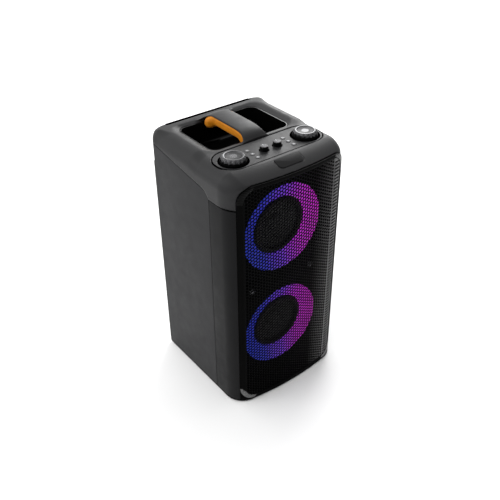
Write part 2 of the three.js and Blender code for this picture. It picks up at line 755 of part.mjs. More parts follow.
const holeStartY = BAFFLE_FRONT_Y - 5;
const holeEndY = BAFFLE_BACK_Y + 5;
const ringPocket = turnedY(discProfile(RING_OUTER + GAP, holeStartY, RING_POCKET_Y), 40);
const wooferHole = turnedY(discProfile(WOOFER_HOLE, holeStartY, holeEndY), 32);
const tweeterHole = turnedY(discProfile(TWEETER_BODY.radius + GAP, holeStartY, holeEndY), 20);
let baffle = box(
  [-BAFFLE_HALF_WIDTH, BAFFLE_HALF_WIDTH],
  [BAFFLE_FRONT_Y, BAFFLE_BACK_Y],
  BAFFLE_Z,
);
for (const z of WOOFER_Z) {
  baffle = baffle.subtract(at(ringPocket, 0, 0, z)).subtract(at(wooferHole, 0, 0, z));
}
for (const x of [-TWEETER_X, TWEETER_X]) baffle = baffle.subtract(at(tweeterHole, x, 0, TWEETER_Z));
addPart('front_baffle', baffle, SATIN_BLACK);

// ---- Woofers and their light rings -------------------------------------------------------------

const funnelBack = BAFFLE_FRONT_Y + RING_FUNNEL;
const ring = turnedY([
  [RING_OUTER, BAFFLE_FRONT_Y],
  [RING_OUTER, BAFFLE_FRONT_Y + RING_WALL],
  [RING_INNER, funnelBack],
  [RING_INNER, funnelBack - RING_WALL],
  [RING_OUTER - 2, BAFFLE_FRONT_Y - 1],
  [RING_OUTER, BAFFLE_FRONT_Y],
], 40);
const ledBoard = turnedY([
  [LED_BOARD.inner, LED_BOARD.y[0]],
  [LED_BOARD.outer, LED_BOARD.y[0]],
  [LED_BOARD.outer, LED_BOARD.y[1]],
  [LED_BOARD.inner, LED_BOARD.y[1]],
  [LED_BOARD.inner, LED_BOARD.y[0]],
]);

const flangeY = [BAFFLE_BACK_Y + GAP, BAFFLE_BACK_Y + GAP + BASKET.wall];
const basket = turnedY([
  [BASKET.bore, flangeY[0]],
  [BASKET.flange, flangeY[0]],
  [BASKET.flange, flangeY[1]],
  [BASKET.shoulder, flangeY[1]],
  [BASKET.back, BASKET.backY - 5],
  [BASKET.back, BASKET.backY],
  [BASKET.neck, BASKET.backY],
  [BASKET.neck, BASKET.backY - BASKET.wall],
  [BASKET.back - BASKET.wall, BASKET.backY - BASKET.wall],
  [BASKET.back - BASKET.wall, BASKET.backY - 2 * BASKET.wall],
  [BASKET.bore, flangeY[0] + 7],
  [BASKET.bore, flangeY[0]],
]);
const magnet = turnedY(discProfile(MAGNET.radius, BASKET.backY + GAP, MAGNET.backY));
const cone = turnedY([
  ...DUST_CAP,
  [CONE.neck, CONE.neckY],
  [CONE.rim, CONE.rimY],
  [CONE.rim, CONE.rimY + CONE.wall],
  [CONE.neck + 1, CONE.neckY + 1.5],
  [COIL.outer, COIL.frontY + 1],
  [COIL.outer, COIL.backY],
  [COIL.inner, COIL.backY],
  [COIL.inner, COIL.frontY],
  [0, COIL.frontY],
]);

// The surround's half roll bulges forwards; its lip is bonded to the rim of the cone.
function halfRoll(radius) {
  return arc(ROLL.middle, ROLL.y, radius, -Math.PI, 0, 4).map((p) => [p.x, p.y]);
}
const surround = turnedY([
  [ROLL.flange, ROLL.y - 0.8],
  [ROLL.flange, ROLL.y + 0.4],
  [ROLL.middle + 5, ROLL.y + 0.4],
  ...halfRoll(ROLL.inner).reverse(),
  [ROLL.lip + 0.5, ROLL.y],
  [ROLL.lip + 0.5, ROLL.y + 1],
  [ROLL.lip, ROLL.y + 1],
  [ROLL.lip, ROLL.y - 1],
  ...halfRoll(ROLL.outer),
  [ROLL.flange, ROLL.y - 0.8],
]);

['lower', 'upper'].forEach((level, i) => {
  const place = [0, 0, WOOFER_Z[i]];
  addPart(`${level}_light_ring`, ring, RING_VIOLET, place);
  addPart(`${level}_led_board`, ledBoard, BOARD_GREEN, place);
  addPart(`${level}_woofer_basket`, basket, STEEL, place);
  addPart(`${level}_woofer_magnet`, magnet, FERRITE, place);
  addPart(`${level}_woofer_cone`, cone, PAPER_CONE, place);
  addPart(`${level}_woofer_surround`, surround, RUBBER, place);
});

// ---- Tweeters ----------------------------------------------------------------------------------

const tweeter = turnedY([
  ...TWEETER_DOME,
  ...TWEETER_HORN,
  [TWEETER_HORN.at(-1)[0], BAFFLE_FRONT_Y - GAP],
  [TWEETER_BODY.radius, BAFFLE_FRONT_Y - GAP],
  [TWEETER_BODY.radius, TWEETER_BODY.backY],
  [0, TWEETER_BODY.backY],
], 20);
addPart('left_tweeter', tweeter, SATIN_BLACK, [-TWEETER_X, 0, TWEETER_Z]);
addPart('right_tweeter', tweeter, SATIN_BLACK, [TWEETER_X, 0, TWEETER_Z]);

// ---- Back: cover, bass port and connections ----------------------------------------------------

const coverFrontY = BACK_Y - COVER_THICKNESS;
const coverLip = box([-COVER_X, COVER_X], [LIP.y, BACK_Y], [LIP.bottom, LIP.top]);
const ioOuter = IO_X + IO_FLANGE;
const ioFlangeZ = [IO_Z[0] - IO_FLANGE, IO_Z[1] + IO_FLANGE];
const coverPortHole = turnedY(discProfile(PORT_FLANGE + GAP, -10, 10));
const coverIoHole = box(
  [-ioOuter - GAP, ioOuter + GAP],
  [BACK_Y - 10, BACK_Y + 10],
  [ioFlangeZ[0] - GAP, ioFlangeZ[1] + GAP],
);
const cover = box([-COVER_X, COVER_X], [coverFrontY, BACK_Y], [COVER_BOTTOM_Z, LIP.top])
  .add(coverLip)
  .subtract(at(coverPortHole, 0, BACK_Y, PORT_Z))
  .subtract(coverIoHole);
addPart('rear_cover', cover, SATIN_BLACK);

const port = turnedY([
  [PORT_BORE + 6, BACK_Y],
  [PORT_FLANGE, BACK_Y],
  [PORT_FLANGE, coverFrontY],
  [PORT_BODY, coverFrontY],
  [PORT_BODY, PORT_INNER_Y],
  [PORT_BORE, PORT_INNER_Y],
  [PORT_BORE, BACK_Y - 7],
  [PORT_BORE + 2, BACK_Y - 3],
  [PORT_BORE + 6, BACK_Y],
], 24);
addPart('bass_port_tube', port, SATIN_BLACK, [0, 0, PORT_Z]);

// A sunk tray with a socket for the mains inlet, the USB port and the microphone jack.
const ioFront = IO_FLOOR_Y + IO_WALL;
const socketY = [IO_FLOOR_Y - 10, IO_FLOOR_Y + 10];
function socket({ x, z, halfWidth, halfHeight }) {
  return box(
    [x - halfWidth - GAP, x + halfWidth + GAP],
    socketY,
    [z - halfHeight - GAP, z + halfHeight + GAP],
  );
}
const ioPlate = box([-IO_X, IO_X], [IO_FLOOR_Y, BACK_Y - 2], IO_Z)
  .add(box([-ioOuter, ioOuter], [coverFrontY, BACK_Y], ioFlangeZ))
  .subtract(
    box([IO_WALL - IO_X, IO_X - IO_WALL], [ioFront, BACK_Y + 10], [IO_Z[0] + IO_WALL, IO_Z[1] - IO_WALL]),
  )
  .subtract(socket(INLET))
  .subtract(socket(USB))
  .subtract(at(turnedY(discProfile(JACK.radius + GAP, ...socketY), 16), JACK.x, 0, JACK.z));
addPart('connection_plate', ioPlate, SATIN_BLACK);

function block({ halfWidth, halfHeight }, y) {
  return box([-halfWidth, halfWidth], y, [-halfHeight, halfHeight]);
}
const inletBore = { halfWidth: INLET.halfWidth - 3, halfHeight: INLET.halfHeight - 3 };
const inlet = block(INLET, [IO_FLOOR_Y - 18, ioFront + 1.5]).subtract(
  throughY(
    roundedRectangle(
      [-inletBore.halfWidth, inletBore.halfWidth],
      [-inletBore.halfHeight, inletBore.halfHeight],
      inletBore.halfHeight - 0.1,
    ),
    IO_FLOOR_Y - 12,
    IO_FLOOR_Y + 10,
  ),
);
addPart('power_inlet', inlet, GLOSS_BLACK, [INLET.x, 0, INLET.z]);

const usbBore = { halfWidth: USB.halfWidth - 1.8, halfHeight: USB.halfHeight - 1.8 };
const usb = block(USB, [IO_FLOOR_Y - 12, ioFront + 1])
  .subtract(block(usbBore, [IO_FLOOR_Y - 9, IO_FLOOR_Y + 10]));
addPart('usb_port', usb, STEEL, [USB.x, 0, USB.z]);

const jackY = [IO_FLOOR_Y - 18, ioFront + 2];
const jack = turnedY([
  [JACK.bore, jackY[1]],
  [JACK.radius, jackY[1]],
  [JACK.radius, jackY[0]],
  [0, jackY[0]],
  [0, jackY[0] + 3],
  [JACK.bore, jackY[0] + 3],
  [JACK.bore, jackY[1]],
], 16);
addPart('microphone_jack', jack, GLOSS_BLACK, [JACK.x, 0, JACK.z]);

// ---- Electronics and battery inside the cabinet ------------------------------------------------

addPart('amplifier_board', box(...AMPLIFIER), BOARD_GREEN);
addPart('power_supply', box(...POWER_SUPPLY), STEEL);
addPart('battery_pack', box(...BATTERY), BATTERY_BLUE);

// ---- Control panel -----------------------------------------------------------------------------

const dialPlaces = [['left', -DIAL_X], ['right', DIAL_X]];
const trimPlaces = [['left', -TRIM_X], ['right', TRIM_X]];
const throughPanel = [DECK_Z - 10, DECK_Z + 10];
const wellHole = turnedZ(discProfile(WELL_RADIUS, ...throughPanel));
const trimHole = turnedZ(discProfile(TRIM_RADIUS + 1.2, ...throughPanel), 16);
const buttonHole = turnedZ(discProfile(BUTTON_RADIUS + 0.4, ...throughPanel), 14);
let panel = standing(panelOutline(0), DECK_Z - SKIN, DECK_Z);
for (const [, x] of dialPlaces) panel = panel.subtract(at(wellHole, x, DIAL_Y, 0));
for (const [, x] of trimPlaces) panel = panel.subtract(at(trimHole, x, TRIM_Y, 0));
for (const x of [-BUTTON_X, BUTTON_X]) {
  for (const y of BUTTON_Y) panel = panel.subtract(at(buttonHole, x, y, 0));
}
addPart('control_panel', panel, PANEL_GREY);

// Black tray under the panel: it is the floor of the dial wells and guides every shaft and stem.
const trayZ = [DECK_Z - 9, DECK_Z - SKIN - GAP];
const throughTray = [DECK_Z - 30, DECK_Z + 10];
const shaftHole = turnedZ(discProfile(SHAFT_RADIUS + 1, ...throughTray), 12);
const stemHole = turnedZ(discProfile(BUTTON_STEM + 0.4, ...throughTray), 8);
const buttonRoom = turnedZ(discProfile(BUTTON_RADIUS + 0.4, DECK_Z - 5.5, DECK_Z + 10), 14);
let tray = standing(panelOutline(-5.5), ...trayZ);
for (const [, x] of dialPlaces) tray = tray.subtract(at(shaftHole, x, DIAL_Y, 0));
for (const [, x] of trimPlaces) tray = tray.subtract(at(shaftHole, x, TRIM_Y, 0));
for (const x of [-BUTTON_X, BUTTON_X]) {
  for (const y of BUTTON_Y) {
    tray = tray.subtract(at(stemHole, x, y, 0)).subtract(at(buttonRoom, x, y, 0));
  }
}
addPart('control_tray', tray, GLOSS_BLACK);
const controlBoard = box(
  [10 - PANEL_X, PANEL_X - 10],
  [PANEL_Y[0] + 4, PANEL_Y[1] - 13],
  [BOARD_Z, BOARD_Z + BOARD_THICKNESS],
);
addPart('control_board', controlBoard, BOARD_GREEN);

// ---- Dials, trim knobs and their shafts --------------------------------------------------------

const shaftBaseZ = BOARD_Z + BOARD_THICKNESS + GAP;
const shaftBody = box([-7, 7], [-7, 7], [shaftBaseZ, shaftBaseZ + 8]);
function withShaft(topZ) {
  return shaftBody.add(turnedZ(discProfile(SHAFT_RADIUS, shaftBaseZ + 4, topZ), 10));
}
const encoder = withShaft(DIAL_TOP_Z - 8);
const trimPot = withShaft(TRIM_TOP_Z - 4);

const knobBottomZ = DECK_Z - SKIN + 0.5;
const scallop = turnedZ(discProfile(2.6, knobBottomZ + 5.5, DIAL_TOP_Z - 3), 8);
let dial = turnedZ([
  [KNOB_BORE, knobBottomZ],
  [DIAL_RADIUS + 1.5, knobBottomZ],
  [DIAL_RADIUS + 1.5, knobBottomZ + 4],
  [DIAL_RADIUS, knobBottomZ + 5],
  [DIAL_RADIUS, DIAL_TOP_Z - 4],
  [DIAL_RADIUS - 3.5, DIAL_TOP_Z - 0.5],
  [DIAL_RADIUS - 6, DIAL_TOP_Z - 0.5],
  [DIAL_RADIUS - 6.5, DIAL_TOP_Z - 1.2],
  [0, DIAL_TOP_Z - 1.2],
  [0, DIAL_TOP_Z - 7.5],
  [KNOB_BORE, DIAL_TOP_Z - 7.5],
  [KNOB_BORE, knobBottomZ],
], 32);
for (let i = 0; i < SCALLOPS; i += 1) {
  const angle = (2 * Math.PI * i) / SCALLOPS;
  const reach = DIAL_RADIUS + 1.4;
  dial = dial.subtract(at(scallop, reach * Math.cos(angle), reach * Math.sin(angle), 0));
}
for (const [side, x] of dialPlaces) {
  addPart(`${side}_dial_encoder`, encoder, STEEL, [x, DIAL_Y, 0]);
  addPart(`${side}_dial`, dial, DIAL_METAL, [x, DIAL_Y, 0]);
}

const pointer = box([-0.7, 0.7], [1, TRIM_RADIUS + 1], [TRIM_TOP_Z - 0.8, TRIM_TOP_Z + 1]);
const trimKnob = turnedZ([
  [KNOB_BORE, knobBottomZ],
  [TRIM_RADIUS, knobBottomZ],
  [TRIM_RADIUS, TRIM_TOP_Z - 1.5],
  [TRIM_RADIUS - 1.5, TRIM_TOP_Z],
  [0, TRIM_TOP_Z],
  [0, TRIM_TOP_Z - 3.5],
  [KNOB_BORE, TRIM_TOP_Z - 3.5],
  [KNOB_BORE, knobBottomZ],
], 20).subtract(pointer);
for (const [side, x] of trimPlaces) {
  addPart(`${side}_trim_pot`, trimPot, STEEL, [x, TRIM_Y, 0]);
  addPart(`${side}_trim_knob`, trimKnob, GLOSS_BLACK, [x, TRIM_Y, 0]);
}

// ---- Push buttons ------------------------------------------------------------------------------

const stemBottomZ = BOARD_Z + BOARD_THICKNESS + BUTTON_TRAVEL + 0.8;
const buttonCap = turnedZ(discProfile(BUTTON_RADIUS, DECK_Z - 3.5, DECK_Z + BUTTON_RISE), 14);
const button = buttonCap.add(turnedZ(discProfile(BUTTON_STEM, stemBottomZ, DECK_Z - 3), 8));
for (const [side, x] of [['left', -BUTTON_X], ['right', BUTTON_X]]) {
  ['rear', 'middle', 'front'].forEach((row, i) => {
    addPart(`${side}_${row}_button`, button, BUTTON_GREY, [x, BUTTON_Y[i], 0]);
  });
}

export default speaker;
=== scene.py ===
"""Looks for the party speaker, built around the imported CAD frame. Helpers work in millimetres."""

import math

import bpy
import numpy as np
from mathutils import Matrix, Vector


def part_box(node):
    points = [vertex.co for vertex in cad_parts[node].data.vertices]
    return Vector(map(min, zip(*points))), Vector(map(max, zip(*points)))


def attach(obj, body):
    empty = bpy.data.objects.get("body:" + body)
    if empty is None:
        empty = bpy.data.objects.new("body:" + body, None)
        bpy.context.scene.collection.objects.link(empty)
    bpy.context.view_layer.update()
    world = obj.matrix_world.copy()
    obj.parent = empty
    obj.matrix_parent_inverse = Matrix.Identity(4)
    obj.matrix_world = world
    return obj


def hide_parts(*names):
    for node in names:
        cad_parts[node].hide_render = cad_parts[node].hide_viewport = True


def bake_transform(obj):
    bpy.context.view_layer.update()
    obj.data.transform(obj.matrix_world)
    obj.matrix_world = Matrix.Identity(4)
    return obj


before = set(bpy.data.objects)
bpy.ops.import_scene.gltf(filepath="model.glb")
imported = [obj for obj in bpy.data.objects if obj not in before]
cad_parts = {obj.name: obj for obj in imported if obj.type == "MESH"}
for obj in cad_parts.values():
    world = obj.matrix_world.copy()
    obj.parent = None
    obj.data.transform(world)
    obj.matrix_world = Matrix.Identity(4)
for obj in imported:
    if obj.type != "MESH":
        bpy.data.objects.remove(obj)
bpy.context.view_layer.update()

import openvdb
from mathutils import Matrix, Vector

MM = 0.001
ROOT = "cabinet"


def box_mm(node):
    low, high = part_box(node)
    return np.array(low) / MM, np.array(high) / MM


# ---- Driving sizes, read from the frame where a node carries them -------------------------------

shell_low, shell_high = box_mm("top_shell")
base_low = box_mm("base_plate")[0]
panel_low, panel_high = box_mm("control_panel")
frame_low, frame_high = box_mm("grille_frame")
tub_low, tub_high = box_mm("handle_tub")
grip_low, grip_high = box_mm("handle_grip")
side_low, side_high = box_mm("right_side_panel")
column_low, column_high = box_mm("right_corner_column")
cover_low, cover_high = box_mm("rear_cover")
badge_low, badge_high = box_mm("badge_plate")

HALF_WIDTH = side_high[0]
FRONT_Y = base_low[1]
BACK_Y = cover_high[1]
CORNER_RADIUS = 45
BOW_DEPTH = 8
FRAME_ANGLE = math.radians(44)
GRILLE_ANGLE = math.radians(26)
DECK_Z = panel_high[2]
FRAME_Z = cover_high[2] + 0.6
BAR_CREST_Z = shell_high[2]
COLUMN_TOP_Z = column_high[2] + 0.3
OPENING_X = tub_high[0] + 0.3
OPENING_Y = (tub_low[1] - 0.3, tub_high[1] + 0.3)
OPENING_RADIUS = 20
BAR_HALF_WIDTH = 24
GRIP_UNDERSIDE_Z = 567
RING_OUTER = (box_mm("upper_light_ring")[1][0] - box_mm("upper_light_ring")[0][0]) / 2
BAFFLE_Y = box_mm("front_baffle")[0][1]


def middle(node):
    low, high = box_mm(node)
    return (low + high) / 2


# ---- The bowed front: one large arc meets a corner arc at each side -----------------------------

CORNER_X = HALF_WIDTH - CORNER_RADIUS
CORNER_Y = FRONT_Y + BOW_DEPTH + CORNER_RADIUS
CORNER_REACH = BOW_DEPTH + CORNER_RADIUS
BOW_RADIUS = (CORNER_X**2 + CORNER_REACH**2 - CORNER_RADIUS**2) / (2 * BOW_DEPTH)
BOW_Y = FRONT_Y + BOW_RADIUS
JOIN = math.atan2(CORNER_X, BOW_RADIUS - CORNER_REACH)
BOW_LENGTH = BOW_RADIUS * JOIN


def arc_length(reach):
    """Distance along the skin from the middle of the front to an angle round the corner."""
    return BOW_LENGTH + CORNER_RADIUS * (reach - JOIN)


def front_point(s, z, depth):
    """Points on the front, s along the skin from its middle and depth in from it."""
    s, depth = np.broadcast_arrays(np.asarray(s, float), np.asarray(depth, float))
    on_bow = np.abs(s) <= BOW_LENGTH
    bow_angle = s / BOW_RADIUS
    turn = JOIN + (np.abs(s) - BOW_LENGTH) / CORNER_RADIUS
    radius = CORNER_RADIUS - depth
    x = np.where(
        on_bow,
        (BOW_RADIUS - depth) * np.sin(bow_angle),
        np.sign(s) * (CORNER_X + radius * np.sin(turn)),
    )
    y = np.where(
        on_bow,
        BOW_Y - (BOW_RADIUS - depth) * np.cos(bow_angle),
        CORNER_Y - radius * np.cos(turn),
    )
    return np.stack([x, y, np.broadcast_to(z, x.shape)], axis=-1)


# ---- Mesh helpers -------------------------------------------------------------------------------


def piece(name, verts, faces, material, body=ROOT, stands_for=(), slot=None, crease=32):
    mesh = bpy.data.meshes.new(name)
    mesh.from_pydata((np.asarray(verts, float) * MM).tolist(), [], faces)
    mesh.validate()
    mesh.update()
    mesh.shade_smooth()
    if crease is not None:
        mesh.set_sharp_from_angle(angle=math.radians(crease))
    obj = bpy.data.objects.new(name, mesh)
    bpy.context.scene.collection.objects.link(obj)
    mesh.materials.append(material)
    if body:
        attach(obj, body)
    if stands_for:
        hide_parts(*stands_for)
    return obj


def arc(x, y, radius, start, end, steps):
    angles = np.linspace(start, end, steps + 1)
    return np.stack([x + radius * np.cos(angles), y + radius * np.sin(angles)], axis=1)


def rounded_rectangle(x0, x1, y0, y1, radius, steps=10):
    quarter = math.pi / 2
    return np.concatenate(
        [
            arc(x1 - radius, y0 + radius, radius, -quarter, 0, steps),
            arc(x1 - radius, y1 - radius, radius, 0, quarter, steps),
            arc(x0 + radius, y1 - radius, radius, quarter, 2 * quarter, steps),
            arc(x0 + radius, y0 + radius, radius, 2 * quarter, 3 * quarter, steps),
        ]
    )


def filleted(points, radii, steps=6):
    """A closed outline with each corner rounded by its own radius."""
    points = np.asarray(points, float)
    out = []
    count = len(points)
    for i in range(count):
        here, radius = points[i], radii[i]
        before, after = points[i - 1] - here, points[(i + 1) % count] - here
        if radius <= 0:
            out.append(here[None])
            continue
        a, b = before / np.linalg.norm(before), after / np.linalg.norm(after)
        half = math.acos(np.clip(a @ b, -1, 1)) / 2
        reach = min(radius / math.tan(half), 0.49 * min(np.linalg.norm(before), np.linalg.norm(after)))
        t = np.linspace(0, 1, steps + 1)[:, None]
        out.append((1 - t) ** 2 * (here + a * reach) + 2 * t * (1 - t) * here + t**2 * (here + b * reach))
    return np.concatenate(out)


def signed_area(outline):
    x, y = outline[:, 0], outline[:, 1]
    return 0.5 * np.sum(x * np.roll(y, -1) - np.roll(x, -1) * y)


def inset(outline, distance):
    """The outline moved inwards along its own normals."""
    if signed_area(outline) < 0:
        distance = -distance
    edge = np.roll(outline, -1, axis=0) - outline
    edge /= np.maximum(np.linalg.norm(edge, axis=1, keepdims=True), 1e-9)
    normal = np.stack([-edge[:, 1], edge[:, 0]], axis=1)
    mitre = normal + np.roll(normal, 1, axis=0)
    mitre /= np.maximum((mitre * mitre).sum(1, keepdims=True) / 2, 0.5)
    return outline + mitre * distance


def rings_to_faces(rings, count):
    """Side faces between rings of points, and a cap at both ends."""
    faces = []
    for level in range(rings - 1):
        low, high = level * count, (level + 1) * count
        for i in range(count):
            j = (i + 1) % count
            faces.append((low + i, low + j, high + j, high + i))
    faces.append(tuple(range(count))[::-1])
    top = (rings - 1) * count
    faces.append(tuple(range(top, top + count)))
    return faces


AXES = {
    "z": lambda a, b, h: (a, b, h),
    "x": lambda a, b, h: (h, a, b),
    "y": lambda a, b, h: (b, h, a),
}


def slab(outline, low, high, bevel, axis="z", steps=3):
    """A flat outline made into a plate whose top and bottom edges are rounded."""
    outline = np.asarray(outline, float)
    if signed_area(outline) < 0:
        outline = outline[::-1]
    turns = np.linspace(0, math.pi / 2, steps + 1)
    levels = [(bevel * (1 - math.sin(t)), low + bevel * (1 - math.cos(t))) for t in turns]
    levels += [(bevel * (1 - math.cos(t)), high - bevel * (1 - math.sin(t))) for t in turns]
    verts = []
    for inward, height in levels:
        ring = inset(outline, inward)
        verts.append(np.stack(AXES[axis](ring[:, 0], ring[:, 1], np.full(len(ring), height)), axis=1))
    return np.concatenate(verts), rings_to_faces(len(levels), len(outline))


def turned(profile, steps=96, axis="z", centre=(0, 0, 0), radius_change=None):
    """A closed profile of (radius, height) points turned about the Z or Y axis."""
    profile = np.asarray(profile, float)
    if signed_area(profile) < 0:
        profile = profile[::-1]
    angles = np.arange(steps) * 2 * math.pi / steps
    verts, faces, index = [], [], []
    for radius, height in profile:
        if radius < 1e-6:
            index.append([len(verts)] * steps)
            verts.append((0.0, 0.0, height))
            continue
        index.append(list(range(len(verts), len(verts) + steps)))
        change = radius_change(angles, radius, height) if radius_change else np.zeros(steps)
        for angle, extra in zip(angles, change):
            verts.append(((radius + extra) * math.cos(angle), (radius + extra) * math.sin(angle), height))
    count = len(profile)
    for i in range(count):
        a, b = index[i], index[(i + 1) % count]
        for j in range(steps):
            k = (j + 1) % steps
            corners = [a[j], a[k], b[k], b[j]]
            face = [v for n, v in enumerate(corners) if v != corners[n - 1]]
            if len(face) > 2:
                faces.append(tuple(face))
    verts = np.array(verts)
    if axis == "y":
        verts = np.stack([verts[:, 1], verts[:, 2], verts[:, 0]], axis=1)
    return verts + np.asarray(centre, float), faces


def turned_sector(profile, start, end, steps, centre):
    """Part of a turn about the Y axis, closed at both ends."""
    profile = np.asarray(profile, float)
    if signed_area(profile) < 0:
        profile = profile[::-1]
    rings = [
        np.stack([profile[:, 0] * math.sin(a), profile[:, 1], profile[:, 0] * math.cos(a)], axis=1)
        for a in np.linspace(start, end, steps + 1)
    ]
    faces = rings_to_faces(len(rings), len(profile))
    return np.concatenate(rings) + np.asarray(centre, float), [face[::-1] for face in faces]


def merged(*parts):
    verts, faces, offset = [], [], 0
    for part_verts, part_faces in parts:
        verts.append(np.asarray(part_verts, float))
        faces += [tuple(v + offset for v in face) for face in part_faces]
        offset += len(part_verts)
    return np.concatenate(verts), faces


def pierced(outline, holes, low, high, bevel, axis="z", resolution=3):
    """A plate with holes, its edges rounded inside and out."""
    curve = bpy.data.curves.new("outline", "CURVE")
    curve.dimensions = "2D"
    curve.fill_mode = "BOTH"
    curve.extrude = (high - low) / 2 - bevel
    curve.bevel_depth = bevel
    curve.bevel_resolution = resolution
    curve.offset = -bevel
    for points in [outline, *holes]:
        spline = curve.splines.new("POLY")
        spline.points.add(len(points) - 1)
        spline.points.foreach_set("co", np.c_[points, np.zeros(len(points)), np.ones(len(points))].ravel())
        spline.use_cyclic_u = True
    obj = bpy.data.objects.new("outline", curve)
    mesh = bpy.data.meshes.new_from_object(obj)
    verts = np.array([v.co[:] for v in mesh.vertices])
    faces = [tuple(p.vertices) for p in mesh.polygons]
    bpy.data.objects.remove(obj)
    bpy.data.curves.remove(curve)
    bpy.data.meshes.remove(mesh)
    verts = np.stack(AXES[axis](verts[:, 0], verts[:, 1], verts[:, 2] + (low + high) / 2), axis=1)
    return verts, faces


# ---- Smooth solids from distance fields ---------------------------------------------------------


def rectangle_field(x, y, x0, x1, y0, y1, radius):
    qx = np.abs(x - (x0 + x1) / 2) - (x1 - x0) / 2 + radius
    qy = np.abs(y - (y0 + y1) / 2) - (y1 - y0) / 2 + radius
    return np.hypot(np.maximum(qx, 0), np.maximum(qy, 0)) + np.minimum(np.maximum(qx, qy), 0) - radius


def round_meet(a, b, radius):
    """Where both solids are, with the edge between them rounded."""
    return np.minimum(-radius, np.maximum(a, b)) + np.hypot(
        np.maximum(a + radius, 0), np.maximum(b + radius, 0)
    )


def round_join(a, b, radius):
    """Where either solid is, with a fillet between them."""
    return -round_meet(-a, -b, radius)


def smooth_step(value, low, high):
    t = np.clip((value - low) / (high - low), 0, 1)
    return t * t * (3 - 2 * t)


def field_grid(low, high, step):
    axes = [np.arange(a - 2 * step, b + 3 * step, step, dtype=np.float32) for a, b in zip(low, high)]
    return np.meshgrid(*axes, indexing="ij")


def field_mesh(field, low, step):
    """The zero surface of a distance field, as vertices and faces with outward normals."""
    grid = openvdb.FloatGrid()
    grid.background = 4 * step
    grid.copyFromArray(np.ascontiguousarray(np.clip(field, -4 * step, 4 * step), dtype=np.float32))
    points, triangles, quads = grid.convertToPolygons(isovalue=0, adaptivity=0)
    verts = points * step + (np.asarray(low) - 2 * step)
    faces = [tuple(int(v) for v in q) for q in quads] + [tuple(int(v) for v in t) for t in triangles]
    volume = 0.0
    quad = verts[quads] if len(quads) else np.zeros((0, 4, 3))
    for a, b, c in ((0, 1, 2), (0, 2, 3)):
        volume += np.einsum("ij,ij->", quad[:, a], np.cross(quad[:, b], quad[:, c]))
    if volume < 0:
        faces = [face[::-1] for face in faces]
    return verts, faces


def thin_out(obj, ratio):
    """Fewer faces where the surface is flat, the curved stretches keep theirs."""
    modifier = obj.modifiers.new("thin", "DECIMATE")
    modifier.ratio = ratio
    depsgraph = bpy.context.evaluated_depsgraph_get()
    mesh = bpy.data.meshes.new_from_object(obj.evaluated_get(depsgraph))
    obj.modifiers.remove(modifier)
    obj.data = mesh
    mesh.shade_smooth()


# ---- Materials ----------------------------------------------------------------------------------


def srgb(r, g, b):
    linear = [((c / 255 + 0.055) / 1.055) ** 2.4 if c > 10 else c / 255 / 12.92 for c in (r, g, b)]
    return (*linear, 1)


class Finish:
    """A principled material with helpers for the nodes that every finish here uses."""

    def __init__(self, name, roughness=0.5, metallic=0.0):
        self.material = bpy.data.materials.new(name)
        self.material.use_nodes = True
        self.tree = self.material.node_tree
        self.surface = self.tree.nodes["Principled BSDF"]
        self.surface.inputs["Roughness"].default_value = roughness
        self.surface.inputs["Metallic"].default_value = metallic
        self.place = self.node("ShaderNodeTexCoord").outputs["Object"]

    def node(self, kind, **settings):
        made = self.tree.nodes.new(kind)
        for key, value in settings.items():
            setattr(made, key, value)
        return made

    def link(self, source, target):
        self.tree.links.new(source, target)

    def set(self, **values):
        for key, value in values.items():
            self.surface.inputs[key.replace("_", " ")].default_value = value
        return self

    def noise(self, scale, detail=3, rough=0.55, vector=None, distortion=0):
        made = self.node("ShaderNodeTexNoise")
        made.inputs["Scale"].default_value = scale
        made.inputs["Detail"].default_value = detail
        made.inputs["Roughness"].default_value = rough
        made.inputs["Distortion"].default_value = distortion
        self.link(vector or self.place, made.inputs["Vector"])
        return made.outputs["Fac"]

    def stretched(self, scale, turn=(0, 0, 0)):
        made = self.node("ShaderNodeMapping")
        made.inputs["Scale"].default_value = scale
        made.inputs["Rotation"].default_value = turn
        self.link(self.place, made.inputs["Vector"])
        return made.outputs["Vector"]

    def spread(self, value, low, high, start=0.3, stop=0.7):
        made = self.node("ShaderNodeMapRange")
        made.inputs["From Min"].default_value = start
        made.inputs["From Max"].default_value = stop
        made.inputs["To Min"].default_value = low
        made.inputs["To Max"].default_value = high
        self.link(value, made.inputs["Value"])
        return made.outputs["Result"]

    def mix(self, factor, a, b, blend="MIX"):
        made = self.node("ShaderNodeMix", data_type="RGBA", blend_type=blend)
        for socket, value in ((made.inputs[6], a), (made.inputs[7], b), (made.inputs[0], factor)):
            if hasattr(value, "is_linked"):
                self.link(value, socket)
            else:
                socket.default_value = value
        return made.outputs[2]

    def math(self, operation, a, b=0.0):
        made = self.node("ShaderNodeMath", operation=operation)
        for socket, value in zip(made.inputs, (a, b)):
            if hasattr(value, "is_linked"):
                self.link(value, socket)
            else:
                socket.default_value = value
        return made.outputs[0]

    def colour(self, value):
        if hasattr(value, "is_linked"):
            self.link(value, self.surface.inputs["Base Color"])
        else:
            self.surface.inputs["Base Color"].default_value = value
        return self

    def rough(self, value):
        self.link(value, self.surface.inputs["Roughness"])
        return self

    def bump(self, height, distance, strength=1.0):
        made = self.node("ShaderNodeBump")
        made.inputs["Strength"].default_value = strength
        made.inputs["Distance"].default_value = distance
        self.link(height, made.inputs["Height"])
        existing = self.surface.inputs["Normal"].links
        if existing:
            self.link(existing[0].from_socket, made.inputs["Normal"])
        self.link(made.outputs["Normal"], self.surface.inputs["Normal"])
        return self

    def worn_and_highlit_edges(self, colour, worn_and_lit):
        # Lighter along sharp edges: partly rubbed wear, partly a painted edge highlight.
        pointiness = self.node("ShaderNodeNewGeometry").outputs["Pointiness"]
        edge = self.spread(pointiness, 0, 0.35, 0.52, 0.62)
        patchy = self.math("MULTIPLY", edge, self.spread(self.noise(90), 0.4, 1.0))
        return self.mix(patchy, colour, worn_and_lit)


